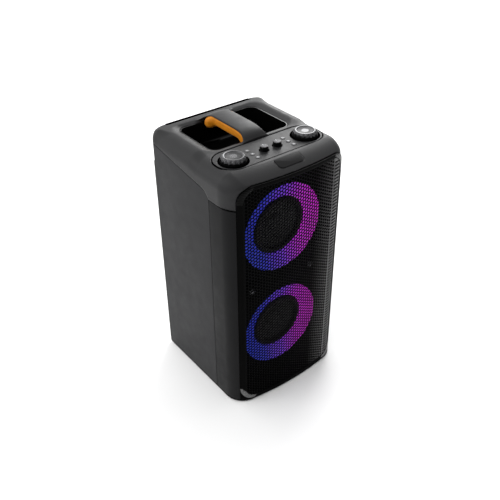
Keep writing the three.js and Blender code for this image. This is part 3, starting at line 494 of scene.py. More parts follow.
def moulded(name, colour, roughness, grain=0.00006, grain_scale=1500, variation=0.1, shine=0.3):
    """Moulded plastic: a fine spark grain, slow changes of tone and gloss, edges lightened by a little
    rubbing and a painted edge highlight.
    """
    finish = Finish(name, roughness)
    dark = tuple(c * (1 - variation) for c in colour[:3]) + (1,)
    light = tuple(c * (1 + variation) for c in colour[:3]) + (1,)
    tone = finish.mix(finish.spread(finish.noise(14, 4), 0, 1), dark, light)
    speck = finish.mix(finish.spread(finish.noise(2600, 1), 0, 0.3, 0.45, 0.75), tone, light)
    # The paler edge colour: rubbed wear and a painted edge highlight.
    worn_and_lit = tuple(min(c * 1.5 + 0.004, 1) for c in colour[:3]) + (1,)
    finish.colour(finish.worn_and_highlit_edges(speck, worn_and_lit))
    gloss = finish.math("ADD", finish.spread(finish.noise(45, 5), -0.05, 0.05), roughness)
    finish.rough(gloss)
    finish.bump(finish.noise(grain_scale, 2, 0.6), grain)
    return finish.set(Specular_IOR_Level=shine)


def powder_coat_painted_highlight(name, start, stop):
    """Black powder coat with a painted highlight: greyer at a glance between two X positions in metres on
    the right, where the light falls on its turn.
    """
    finish = moulded(name, srgb(4, 4, 4), 0.36, 0.00008, 1800, variation=0.15, shine=0.03)
    black = finish.surface.inputs["Base Color"].links[0].from_socket
    apart = finish.node("ShaderNodeSeparateXYZ")
    finish.link(finish.place, apart.inputs[0])
    # Painted highlight: grey mixed into the black over the turn on the right, where the light falls, and
    # more at glancing angles.
    curved = finish.spread(apart.outputs["X"], 0, 1, start, stop)
    painted_sheen = finish.spread(finish.node("ShaderNodeLayerWeight").outputs["Facing"], 0, 1, 0.4, 0.52)
    patchy = finish.math("MULTIPLY", curved, finish.spread(finish.noise(260, 3), 0.6, 1.0))
    return finish.colour(finish.mix(finish.math("MULTIPLY", patchy, painted_sheen), black, srgb(125, 125, 125)))


def polished(name, colour, roughness=0.12, shine=0.2):
    """Gloss plastic with faint swirl marks and settled dust."""
    finish = Finish(name, roughness)
    dust = finish.spread(finish.noise(900, 2), 0, 0.03, 0.55, 0.8)
    finish.colour(finish.mix(dust, colour, (0.2, 0.2, 0.2, 1)))
    marks = finish.noise(120, 6, 0.7, finish.stretched((1, 7, 1), (0.3, 0.2, 0.5)))
    finish.rough(finish.spread(marks, roughness * 0.7, roughness * 1.9, 0.4, 0.75))
    finish.bump(finish.noise(35, 2), 0.00002)
    return finish.set(Specular_IOR_Level=shine)


def rubbery(name, colour, roughness=0.75, scale=900):
    finish = Finish(name, roughness)
    pale = tuple(min(c * 1.7 + 0.01, 1) for c in colour[:3]) + (1,)
    finish.colour(finish.mix(finish.spread(finish.noise(60, 5), 0, 0.35), colour, pale))
    finish.rough(finish.spread(finish.noise(200, 4), roughness - 0.1, min(roughness + 0.12, 1)))
    finish.bump(finish.noise(scale, 3, 0.7), 0.00008)
    return finish.set(Sheen_Weight=0.05, Sheen_Roughness=0.4, Specular_IOR_Level=0.25)


def metal(name, colour, roughness=0.3, grain=(1, 1, 1)):
    finish = Finish(name, roughness, 1.0)
    dull = tuple(c * 0.8 for c in colour[:3]) + (1,)
    lines = finish.noise(500, 3, 0.6, finish.stretched(grain))
    finish.colour(finish.mix(finish.spread(finish.noise(25, 5), 0, 1), dull, colour))
    finish.rough(finish.spread(lines, roughness * 0.75, roughness * 1.4))
    finish.bump(lines, 0.00002)
    return finish


def turned_metal(name, colour, roughness, centre):
    """Lathe-turned metal: fine rings round a dial's axis."""
    finish = Finish(name, roughness, 1.0)
    shift = finish.node("ShaderNodeVectorMath", operation="SUBTRACT")
    shift.inputs[1].default_value = (centre[0] * MM, centre[1] * MM, 0)
    finish.link(finish.place, shift.inputs[0])
    apart = finish.node("ShaderNodeSeparateXYZ")
    finish.link(shift.outputs[0], apart.inputs[0])
    flat = finish.node("ShaderNodeCombineXYZ")
    finish.link(apart.outputs["X"], flat.inputs["X"])
    finish.link(apart.outputs["Y"], flat.inputs["Y"])
    length = finish.node("ShaderNodeVectorMath", operation="LENGTH")
    finish.link(flat.outputs[0], length.inputs[0])
    ring = finish.node("ShaderNodeCombineXYZ")
    finish.link(length.outputs["Value"], ring.inputs["X"])
    rings = finish.noise(2600, 2, 0.6, ring.outputs[0])
    dull = tuple(c * 0.75 for c in colour[:3]) + (1,)
    finish.colour(finish.mix(finish.spread(rings, 0, 1), dull, colour))
    finish.rough(finish.spread(finish.noise(70, 4), roughness * 0.8, roughness * 1.3))
    finish.bump(rings, 0.00003)
    return finish


def circuit(name):
    """Solder mask with copper tracks showing through and pads on a grid."""
    finish = Finish(name, 0.35)
    cells = finish.node("ShaderNodeTexVoronoi", feature="DISTANCE_TO_EDGE")
    cells.inputs["Scale"].default_value = 160
    finish.link(finish.place, cells.inputs["Vector"])
    tracks = finish.spread(cells.outputs["Distance"], 1, 0, 0.02, 0.06)
    mask = finish.mix(tracks, srgb(8, 70, 38), srgb(30, 120, 70))
    pads = finish.node("ShaderNodeTexVoronoi")
    pads.inputs["Scale"].default_value = 260
    finish.link(finish.place, pads.inputs["Vector"])
    pad = finish.spread(pads.outputs["Distance"], 1, 0, 0.12, 0.18)
    finish.colour(finish.mix(pad, mask, srgb(190, 170, 110)))
    finish.bump(tracks, 0.00004)
    return finish


def lit_ring(name):
    """A light guide that runs from blue on its left to violet-pink on its right."""
    finish = Finish(name, 0.45)
    apart = finish.node("ShaderNodeSeparateXYZ")
    finish.link(finish.place, apart.inputs[0])
    across = finish.spread(apart.outputs["X"], 0, 1, -RING_OUTER * MM, RING_OUTER * MM)
    ramp = finish.node("ShaderNodeValToRGB")
    stops = [
        (0.0, srgb(10, 34, 138)),
        (0.3, srgb(38, 42, 160)),
        (0.55, srgb(104, 48, 190)),
        (0.75, srgb(172, 34, 190)),
        (1.0, srgb(196, 26, 190)),
    ]
    ramp.color_ramp.elements[0].position, ramp.color_ramp.elements[0].color = stops[0]
    ramp.color_ramp.elements[1].position, ramp.color_ramp.elements[1].color = stops[-1]
    for position, colour in stops[1:-1]:
        ramp.color_ramp.elements.new(position).color = colour
    finish.link(across, ramp.inputs[0])
    finish.colour(finish.mix(0.75, ramp.outputs[0], (0.02, 0.02, 0.025, 1)))
    uneven = finish.spread(finish.noise(30, 2), 0.85, 1.1)
    glow = finish.mix(1.0, ramp.outputs[0], uneven, "MULTIPLY")
    finish.link(glow, finish.surface.inputs["Emission Color"])
    finish.surface.inputs["Emission Strength"].default_value = 0.9
    finish.bump(finish.noise(700, 2), 0.00005)
    return finish


def smoked(name, dark, light, shine=0.4):
    """Smoked clear window with fluting behind its face."""
    finish = Finish(name, 0.22)
    wave = finish.node("ShaderNodeTexWave", wave_type="BANDS", bands_direction="Z")
    wave.inputs["Scale"].default_value = 95
    finish.link(finish.place, wave.inputs["Vector"])
    speck = finish.math("MULTIPLY", wave.outputs["Fac"], finish.spread(finish.noise(600, 2), 0.35, 1.0))
    finish.colour(finish.mix(speck, dark, light))
    finish.bump(wave.outputs["Fac"], 0.0003)
    finish.rough(finish.spread(finish.noise(300, 3), 0.15, 0.35))
    return finish.set(Specular_IOR_Level=shine)


def boarded(name):
    """Stained fibreboard with a faint lengthwise grain."""
    finish = Finish(name, 0.7)
    grain = finish.noise(60, 6, 0.7, finish.stretched((9, 9, 0.6)))
    finish.colour(finish.mix(finish.spread(grain, 0, 1), srgb(19, 19, 19), srgb(31, 31, 31)))
    finish.rough(finish.spread(grain, 0.6, 0.85))
    finish.bump(grain, 0.0001)
    return finish


def pulp(name, centre_z):
    """Coated paper cone: fine pulp fibre over faint pressed rings."""
    finish = Finish(name, 0.6)
    shift = finish.node("ShaderNodeMapping")
    shift.inputs["Location"].default_value = (0, 0, -centre_z * MM)
    shift.inputs["Scale"].default_value = (1, 0, 1)
    finish.link(finish.place, shift.inputs["Vector"])
    length = finish.node("ShaderNodeVectorMath", operation="LENGTH")
    finish.link(shift.outputs[0], length.inputs[0])
    ripple = finish.math("SINE", finish.math("MULTIPLY", length.outputs["Value"], 2200))
    fibre = finish.noise(1300, 4, 0.75, distortion=0.6)
    finish.colour(finish.mix(finish.spread(fibre, 0, 1), srgb(16, 16, 16), srgb(36, 36, 37)))
    finish.rough(finish.spread(fibre, 0.45, 0.75))
    finish.bump(fibre, 0.00012)
    finish.bump(ripple, 0.00008)
    return finish


SHELL = moulded("shell_grey", srgb(38, 38, 39), 0.42, variation=0.06, shine=0.14).material
# The corner columns take a darker copy of the shell grey: painted shade, for columns that face away from the
# light.
SHADED_COLUMN = moulded("column_grey_painted_shade", srgb(22, 22, 23), 0.45, variation=0.06, shine=0.06).material
SIDE = moulded(
    "panel_grey", srgb(48, 48, 49), 0.62, grain=0.0001, grain_scale=1100, variation=0.05, shine=0.08
).material
DECK = moulded("deck_grey", srgb(33, 33, 34), 0.4, variation=0.06, shine=0.12).material
SATIN = moulded("satin_black", srgb(4, 4, 4), 0.45, variation=0.15, shine=0.02).material
COVER = moulded("cover_black", srgb(12, 12, 12), 0.55, 0.00012, 800, variation=0.15, shine=0.15).material
STRIP = moulded("strip_black", srgb(2, 2, 2), 0.7, variation=0.1, shine=0.0).material
GLOSS = polished("gloss_black", srgb(4, 4, 4), shine=0.16).material
GRIP = rubbery("grip_orange", srgb(184, 112, 1), 0.6, 1200).material
RUBBER = rubbery("rubber_black", srgb(18, 18, 18)).material
ROLL = rubbery("surround_rubber", srgb(9, 9, 9), 0.5, 600).material
STEEL = metal("plated_steel", (0.5, 0.51, 0.53, 1), 0.3).material
TITANIUM = metal("tweeter_titanium", (0.12, 0.12, 0.13, 1), 0.35).material
FERRITE = moulded("ferrite", srgb(42, 42, 44), 0.6, grain=0.0002, grain_scale=500, variation=0.2).material
BOARD = circuit("circuit_board").material
BATTERY = moulded("battery_wrap", srgb(30, 62, 130), 0.35, variation=0.1).material
WOOD = boarded("black_fibreboard").material
# One smoked window in three copies, lit, half lit and shaded: painted light and painted shade, each copy for
# the corner it sits at.
LIT_WINDOW = smoked("smoked_window", srgb(52, 52, 52), srgb(150, 150, 150), 0.2).material
SHADED_WINDOW = smoked("smoked_window_painted_shade", srgb(3, 3, 3), srgb(14, 14, 14), 0.05).material
HALF_LIT_WINDOW = smoked("smoked_window_painted_half_light", srgb(40, 40, 40), srgb(110, 110, 110), 0.2).material
ICON = moulded("icon_grey", srgb(190, 190, 192), 0.5, variation=0.05).material
BUTTON = moulded("button_grey", srgb(84, 84, 86), 0.42, variation=0.08).material
BADGE = moulded("badge_black", srgb(19, 19, 20), 0.34, grain=0.00002, variation=0.08, shine=0.1).material
# The grille's powder coat carries a painted highlight on its right turn.
POWDER = powder_coat_painted_highlight("powder_coat_painted_highlight", 0.05, 0.115).material
DIAL_EDGE = metal("dial_edge", (0.075, 0.075, 0.078, 1), 0.24, (1, 1, 6)).material

# ---- Top shell ----------------------------------------------------------------------------------

BROW_TOP = 572.6
BROW_BACK = 54
BROW_FALL = 0.007
SHOULDER_RADIUS = 32
EDGE_RADIUS = 5
WALL = 5.5
REAR_CORNER = 18
CAVITY_TOP_Z = 562
CAVITY_SET_BACK = 6
VOXEL = 1.2
SEAM = 0.8
PANEL_SEAM = 2.2
LIP_FRONT_Y = 142
REAR_TOE = 20
DECK_CORNER = 35.9


def front_field(x, y):
    """Distance out from the bowed front."""
    return np.hypot(x, y - BOW_Y) - BOW_RADIUS


def plan_field(x, y, rear_corner):
    sides = np.abs(x) - HALF_WIDTH
    front = round_meet(sides, front_field(x, y), CORNER_RADIUS)
    return round_meet(front, y - BACK_Y, rear_corner)


def skin_length(x, y):
    """Distance along the skin from the middle of the front, for points near it."""
    on_bow = BOW_RADIUS * np.arctan2(np.abs(x), BOW_Y - y)
    round_corner = BOW_LENGTH + CORNER_RADIUS * (np.arctan2(np.abs(x) - CORNER_X, CORNER_Y - y) - JOIN)
    return np.where((on_bow > BOW_LENGTH) & (y < CORNER_Y + 20), round_corner, on_bow)


def top_height(x, y):
    behind = -front_field(x, y)
    brow = BROW_TOP - BROW_FALL * np.maximum(BROW_BACK - behind, 0) ** 2
    rise = (FRAME_Z - DECK_Z - 0.6) * smooth_step(y, panel_high[1] + 1, panel_high[1] + 30)
    return np.minimum(brow, DECK_Z + 0.6) + rise


def shell_field(x, y, z):
    plan = plan_field(x, y, REAR_CORNER)
    top = z - top_height(x, y)
    side_gap = HALF_WIDTH - np.abs(x)
    end_gap = np.minimum(-front_field(x, y), BACK_Y - y)
    sideways = smooth_step(end_gap - side_gap, -34, 30)
    radius = EDGE_RADIUS + (SHOULDER_RADIUS - EDGE_RADIUS) * sideways
    body = round_meet(plan, top, radius)
    hollow = np.maximum(body + WALL, z - CAVITY_TOP_Z)
    return body, np.maximum(hollow, front_field(x, y) + CAVITY_SET_BACK)


BAR_ENDS = (OPENING_Y[0] - 7, OPENING_Y[1] + 9)
BAR_MIDDLE = (BAR_ENDS[0] + BAR_ENDS[1]) / 2
BAR_REACH = (BAR_ENDS[1] - BAR_ENDS[0]) / 2
BAR_CROWN = 2.0
CAP_DEPTH = 4.5


def bar_height(y, end, crest):
    """Height along the bar: flat over the middle and falling to the frame at both ends."""
    t = np.clip(np.abs(y - BAR_MIDDLE) / BAR_REACH, 0, 1.05)
    return end + (crest - end) * (1 - t**6)


def bar_field(x, y, z):
    """The carrying bar's cap, crowned across, which widens where it runs into the frame."""
    rear = np.clip((y - 96) / (BAR_ENDS[1] - 96), 0, 1)
    front = np.clip((6 - y) / (6 - BAR_ENDS[0]), 0, 1)
    half = BAR_HALF_WIDTH + 30 * rear**2 + 7 * front**2
    crown = BAR_CROWN * (np.abs(x) / BAR_HALF_WIDTH) ** 2
    top = bar_height(y, FRAME_Z - 1.5, BAR_CREST_Z) - np.minimum(crown, 6)
    bottom = bar_height(y, FRAME_Z - 8, BAR_CREST_Z - CAP_DEPTH) - 1.0
    across = round_meet(np.abs(x) - half, np.maximum(z - top, bottom - z), 2.6)
    return np.maximum(across, np.abs(y - BAR_MIDDLE) - BAR_REACH - 4)


BEVEL_FOOT_Z = FRAME_Z - 5


def opening_field(x, y, z):
    prism = rectangle_field(x, y, -OPENING_X, OPENING_X, *OPENING_Y, OPENING_RADIUS)
    rise = np.clip(z - BEVEL_FOOT_Z, 0, 9)
    flare = rise * 2.9
    hopper = rectangle_field(
        x, y,
        -OPENING_X - flare, OPENING_X + flare,
        OPENING_Y[0] - 0.3 * flare, OPENING_Y[1] + 0.6 * flare,
        OPENING_RADIUS + 0.4 * flare,
    )
    return np.minimum(prism, np.where(rise > 0, hopper * 0.42, prism))


def side_recess_field(x, y, z):
    """Where a side panel sits, with a seam all round it."""
    top_back, top_front = side_high[2], side_high[2] - 26
    slope = (top_back - top_front) / (side_high[1] - side_low[1] - 24)
    edge = (z - (top_front + slope * (y - side_low[1] - 24)) - SEAM) / math.hypot(1, slope)
    outline = round_meet(side_low[1] - SEAM - y, edge, 24)
    outline = np.maximum(outline, y - side_high[1] - SEAM)
    return np.maximum(outline, side_low[0] - 0.3 - np.abs(x))


def frame_window_field(x, y, z):
    reach = arc_length(FRAME_ANGLE) + 0.5
    window = rectangle_field(skin_length(x, y), z, -reach, reach, frame_low[2], frame_high[2] + 0.5, 34)
    return np.maximum(window, y + 90)


def badge_place():
    y = middle("badge_plate")[1]
    return y, BROW_TOP - BROW_FALL * (FRONT_Y + BROW_BACK - y) ** 2


def badge_tilt():
    return math.atan(2 * BROW_FALL * (FRONT_Y + BROW_BACK - middle("badge_plate")[1]))


def build_shell():
    low, high = np.array(shell_low), np.array(shell_high)
    low[1], high[1] = FRONT_Y, BACK_Y
    x, y, z = field_grid(low, high, VOXEL)
    body, cavity = shell_field(x, y, z)
    shell = round_meet(body, -opening_field(x, y, z), 1.6)
    shell = round_join(shell, bar_field(x, y, z), 5)
    shell = np.maximum(shell, body - 15)
    panel = rectangle_field(x, y, panel_low[0], panel_high[0], panel_low[1], panel_high[1], 36)
    shell = round_meet(shell, -np.maximum(panel - PANEL_SEAM, panel_low[2] - 0.3 - z), 0.6)
    shell = np.maximum(shell, -(panel + 5))
    strip = rectangle_field(x, y, cover_low[0], cover_high[0], LIP_FRONT_Y, BACK_Y + 40, 4)
    shell = round_meet(shell, -np.maximum(strip - 0.4, 568.7 - z), 0.6)
    back_plate = rectangle_field(x, z, cover_low[0], cover_high[0], 0, 900, 4)
    shell = np.maximum(shell, -np.maximum(back_plate - 0.4, cover_high[1] - 3.4 - y))
    tilt = badge_tilt()
    badge_y, badge_z = badge_place()
    along = (y - badge_y) * math.cos(tilt) + (z - badge_z) * math.sin(tilt)
    above = (z - badge_z) * math.cos(tilt) - (y - badge_y) * math.sin(tilt)
    badge = rectangle_field(x, along, badge_low[0], badge_high[0], -12.5, 12.5, 5)
    shell = np.maximum(shell, -np.maximum(badge - 0.5, -1.3 - above))
    shell = np.maximum(shell, -side_recess_field(x, y, z))
    shell = round_meet(shell, -frame_window_field(x, y, z), 1.2)
    shell = np.maximum(shell, -cavity)
    shell = round_meet(shell, COLUMN_TOP_Z + 0.4 - z, 0.8)
    verts, faces = field_mesh(shell, low, VOXEL)
    obj = piece("top_shell_skin", verts, faces, SHELL,
                stands_for=["top_shell"], slot="shell_grey", crease=None)
    thin_out(obj, min(1, 150000 / (2 * len(faces))))
    return obj


build_shell()

# ---- Badge plate, left blank --------------------------------------------------------------------


def build_badge():
    outline = filleted([(-30.8, -12.3), (30.8, -12.3), (30.8, 12.3), (-30.8, 12.3)], [11, 11, 4, 4])
    verts, faces = slab(outline, -0.9, 0.3, 0.35)
    turn = np.array(Matrix.Rotation(badge_tilt(), 3, "X").transposed())
    place = (0, *badge_place())
    piece("badge_blank", verts @ turn + place, faces, BADGE, stands_for=["badge_plate"], slot="satin_black")


build_badge()

# ---- Side panels, columns and base --------------------------------------------------------------


def side_outline():
    top_back, top_front = side_high[2], side_high[2] - 26
    corners = [
        (side_low[1] + 0.5, side_low[2]),
        (side_high[1], side_low[2]),
        (side_high[1], top_back),
        (side_low[1] + 0.5, top_front - 4),
    ]
    return filleted(corners, [3, 3, 3, 26], 12)


def build_sides():
    toe = REAR_TOE
    outline = side_outline()
    for side, sign in (("left", -1), ("right", 1)):
        verts, faces = slab(outline, side_low[0] + 0.2, side_high[0], 0.7, "x")
        back, floor = BACK_Y - toe, base_low[2] + toe
        beyond = (verts[:, 1] > back) & (verts[:, 2] < floor)
        dy, dz = verts[:, 1] - back, floor - verts[:, 2]
        far = np.hypot(dy, dz)
        pull = np.where(beyond & (far > toe), toe / np.maximum(far, 1), 1)
        verts[:, 1] = np.where(beyond, back + dy * pull, verts[:, 1])
        verts[:, 2] = np.where(beyond, floor - dz * pull, verts[:, 2])
        verts[:, 0] *= sign
        if sign < 0:
            faces = [face[::-1] for face in faces]
        name = f"{side}_side_panel"
        piece(f"{name}_skin", verts, faces, SIDE, stands_for=[name], slot="panel_grey")


def build_columns():
    reach = math.radians(44.5)
    south = 1.5 * math.pi
    thickness = 3

    def line(depth):
        curve = arc(CORNER_X, CORNER_Y, CORNER_RADIUS - depth, south + reach, 2 * math.pi, 24)
        return np.concatenate([curve, [(HALF_WIDTH - depth, side_low[1] - SEAM / 2)]])

    outline = np.concatenate([line(0), line(thickness)[::-1]])
    radii = np.zeros(len(outline))
    radii[[0, 25]] = 1.2
    outline = filleted(outline, radii, 4)
    for side, sign in (("left", -1), ("right", 1)):
        verts, faces = slab(outline, column_low[2], column_high[2], 0.5)
        verts[:, 0] *= sign
        if sign < 0:
            faces = [face[::-1] for face in faces]
        name = f"{side}_corner_column"
        piece(f"{name}_skin", verts, faces, SHADED_COLUMN, stands_for=[name], slot="shell_grey")


def footprint(rear_corner, inward=0):
    half = HALF_WIDTH - inward
    south = 1.5 * math.pi
    return np.concatenate(
        [
            arc(half - rear_corner, BACK_Y - inward - rear_corner, rear_corner, 0, math.pi / 2, 8),
            arc(rear_corner - half, BACK_Y - inward - rear_corner, rear_corner, math.pi / 2, math.pi, 8),
            arc(-CORNER_X, CORNER_Y, CORNER_RADIUS - inward, math.pi, south - JOIN, 24),
            arc(0, BOW_Y, BOW_RADIUS - inward, south - JOIN, south + JOIN, 30)[1:-1],
            arc(CORNER_X, CORNER_Y, CORNER_RADIUS - inward, south + JOIN, 2 * math.pi, 24),
        ]
    )


FRAME_REACH = arc_length(FRAME_ANGLE)
GRILLE_REACH = arc_length(GRILLE_ANGLE)
FRAME_CORNER = 34
MARGIN = 8


def ring_line(half, low, high, radius, steps=24):
    """Closed rounded rectangle in skin length and height, the same point count for every ring."""
    lines = []
    for x, z, start in (
        (half - radius, low + radius, -math.pi / 2),
        (half - radius, high - radius, 0),
        (radius - half, high - radius, math.pi / 2),
        (radius - half, low + radius, math.pi),
    ):
        lines.append(arc(x, z, radius, start, start + math.pi / 2, steps))
    out = []
    for i, corner in enumerate(lines):
        following = lines[(i + 1) % 4][0]
        out.append(corner)
        steps_between = np.linspace(0, 1, 22)[1:-1, None]
        out.append(corner[-1] + (following - corner[-1]) * steps_between)
    return np.concatenate(out)


OUTER_LINE = ring_line(FRAME_REACH - 0.3, frame_low[2], frame_high[2], FRAME_CORNER)
INNER_LINE = ring_line(GRILLE_REACH, frame_low[2] + MARGIN, frame_high[2] - MARGIN, FRAME_CORNER - MARGIN)


def build_base():
    plate = slab(footprint(14), base_low[2], base_low[2] + 3, 0.8)
    toe = REAR_TOE
    verts = plate[0]
    back, floor = BACK_Y - toe, base_low[2] + toe
    rise = np.sqrt(np.maximum(toe**2 - (floor - verts[:, 2]) ** 2, 0))
    verts[:, 1] = np.minimum(verts[:, 1], back + rise)
    s = np.linspace(-FRAME_REACH, FRAME_REACH, 161)
    corner_start = FRAME_REACH - FRAME_CORNER
    beyond = np.maximum(np.abs(s) - corner_start, 0)
    top = frame_low[2] - 0.4 + FRAME_CORNER - np.sqrt(np.maximum(FRAME_CORNER**2 - beyond**2, 0))
    rows = []
    for depth, height in ((0.6, 0), (0, 0.12), (0, 0.88), (0.6, 1), (5, 1), (5, 0)):
        z = base_low[2] + 0.3 + (top - base_low[2] - 0.3) * height
        rows.append(front_point(s, z, depth))
    rows = np.array(rows)
    count = len(s)
    faces = []
    for level in range(6):
        for i in range(count - 1):
            a, b = level * count, ((level + 1) % 6) * count
            faces.append((a + i, a + i + 1, b + i + 1, b + i))
    faces.append(tuple(level * count for level in range(6)))
    faces.append(tuple(level * count + count - 1 for level in range(5, -1, -1)))
    verts, faces = merged(plate, (rows.reshape(-1, 3), faces))
    piece("base_skirt", verts, faces, SATIN, stands_for=["base_plate"], slot="satin_black")


def build_feet():
    for name in ("front_foot", "rear_foot"):
        low, high = box_mm(name)
        outline = rounded_rectangle(low[0], high[0], low[1], high[1], 8.9, 12)
        treads = [slab(outline, low[2] + 0.6, high[2], 0.5)]
        for i in range(18):
            x = low[0] + 10 + i * (high[0] - low[0] - 20) / 17
            rib = rounded_rectangle(x - 2.4, x + 2.4, low[1] + 2, high[1] - 2, 2.2, 4)
            treads.append(slab(rib, low[2], low[2] + 0.9, 0.2))
        verts, faces = merged(*treads)
        piece(f"{name}_pad", verts, faces, RUBBER, stands_for=[name], slot="rubber")


build_sides()
build_columns()
build_base()
build_feet()

# ---- Grille frame and corner windows ------------------------------------------------------------

CORNER_STEPS = 25
SIDE_STEPS = 20
POINTS = len(OUTER_LINE)


def wrapped_band(rows, indices, closed):
    """Rows of (line, depth) over the ring, as a solid band: the last row joins the first."""
    layers = [front_point(line[indices, 0], line[indices, 1], depth) for line, depth in rows]
    count, levels = len(indices), len(rows)
    verts = np.concatenate(layers)
    faces = []
    spans = count if closed else count - 1
    for level in range(levels):
        a, b = level * count, ((level + 1) % levels) * count
        for i in range(spans):
            j = (i + 1) % count
            faces.append((a + i, a + j, b + j, b + i))
    if not closed:
        faces.append(tuple(level * count for level in range(levels))[::-1])
        faces.append(tuple(level * count + count - 1 for level in range(levels)))
    return verts, faces


def between(t):
    return INNER_LINE + (OUTER_LINE - INNER_LINE) * t


def build_frame():
    everything = np.arange(POINTS)
    rows = [
        (between(1.0), 0.9), (between(0.96), 0.45), (between(0.8), 0.3), (between(0.3), 0.3),
        (between(0.1), 0.5), (between(0.0), 1.1), (between(-0.03), 2.0), (between(-0.03), 4.6),
        (between(1.0), 4.6),
    ]
    verts, faces = wrapped_band(rows, everything, True)
    faces = [face[::-1] for face in faces]
    piece("grille_frame_band", verts, faces, SATIN, stands_for=["grille_frame"], slot="satin_black")


def window_indices(corner):
    """The points round one corner of the ring, without the straight runs."""
    start = corner * (CORNER_STEPS + SIDE_STEPS)
    return np.arange(start, start + CORNER_STEPS) % POINTS


def build_windows():
    names = ("lower_right", "upper_right", "upper_left", "lower_left")
    for corner, place in enumerate(names):
        indices = window_indices(corner)
        count = len(indices)
        along = np.linspace(0, 1, count)
        if place in ("upper_left", "lower_left"):
            along = 1 - along
        inner, outer = np.array(INNER_LINE), np.array(OUTER_LINE)
        narrow = 0.10 + 0.5 * smooth_step(along, 0.75, 1.0)
        inner[indices] = INNER_LINE[indices] + (OUTER_LINE[indices] - INNER_LINE[indices]) * narrow[:, None]
        outer[indices] = INNER_LINE[indices] + (OUTER_LINE[indices] - INNER_LINE[indices]) * 0.97
        rows = []
        for t, depth in (
            (1, 2.5), (1, 0.3), (0.9, -0.1), (0.7, -0.35),
            (0.4, -0.4), (0.12, -0.1), (0, 0.3), (0, 2.5),
        ):
            rows.append((inner + (outer - inner) * t, depth))
        verts, faces = wrapped_band(rows, indices, False)
        faces = [face[::-1] for face in faces]
        node = f"{place}_corner_window"
        # Painted light per corner: the shaded copy upper left, the half-lit copy upper right, the lit copy
        # on the lower two.
        window_light_copy = {"upper_left": SHADED_WINDOW, "upper_right": HALF_LIT_WINDOW}.get(place, LIT_WINDOW)
        piece(f"{place}_window_lens", verts, faces, window_light_copy, stands_for=[node], slot="smoked_clear")


build_frame()
build_windows()

# ---- Perforated grille --------------------------------------------------------------------------

HOLE_PITCH = 7.6
HOLE_FLAT = 5.8
SHEET_FRONT = 1.4
SHEET_BACK = 3.2
HOLE_ROUND = 0.3
SLOT_HEIGHT = 3.6
SLOT_COLUMNS = {-1: 18, 1: 15}
SLOT_STEPS = 8


class Sheet:
    """Collects the grille's faces over shared corners, in skin length, height and depth."""

    def __init__(self):
        self.keys, self.verts, self.faces = {}, [], []

    def corner(self, s, z, depth):
        key = (round(s * 50), round(z * 50), round(depth * 50))
        if key not in self.keys:
            self.keys[key] = len(self.verts)
            self.verts.append((s, z, depth))
        return self.keys[key]

    def strip(self, outer, inner):
        """Faces between two closed loops of the same length."""
        for i, j in zip(range(len(outer)), [*range(1, len(outer)), 0]):
            self.faces.append((outer[i], outer[j], inner[j], inner[i]))

    def hole(self, outline, edge, inner_edge):
        """One cell: its outline, and a rounded hole through the sheet inside it."""
        rings = [(outline, SHEET_FRONT), (edge, SHEET_FRONT), (inner_edge, SHEET_FRONT + HOLE_ROUND),
                 (inner_edge, SHEET_BACK), (outline, SHEET_BACK)]
        loops = [[self.corner(s, z, depth) for s, z in points] for points, depth in rings]
        for outer, inner in zip(loops, loops[1:]):
            self.strip(outer, inner)

    def patch(self, outline):
        """A plain piece of sheet with no hole."""
        self.faces.append(tuple(self.corner(s, z, SHEET_FRONT) for s, z in outline))
        self.faces.append(tuple(self.corner(s, z, SHEET_BACK) for s, z in outline[::-1]))

    def close_rim(self):
        edges = {(a, b) for face in self.faces for a, b in zip(face, face[1:] + face[:1])}
        for a, b in [edge for edge in edges if edge[::-1] not in edges]:
            if self.verts[a][2] < SHEET_BACK - 1:
                deeper = [self.corner(*self.verts[v][:2], SHEET_BACK) for v in (a, b)]
                self.faces.append((b, a, deeper[0], deeper[1]))


def inside_grille(s, z, half, low, high, margin):
    return rectangle_field(np.array(float(s)), np.array(float(z)), -half, half, low, high, 28) < -margin


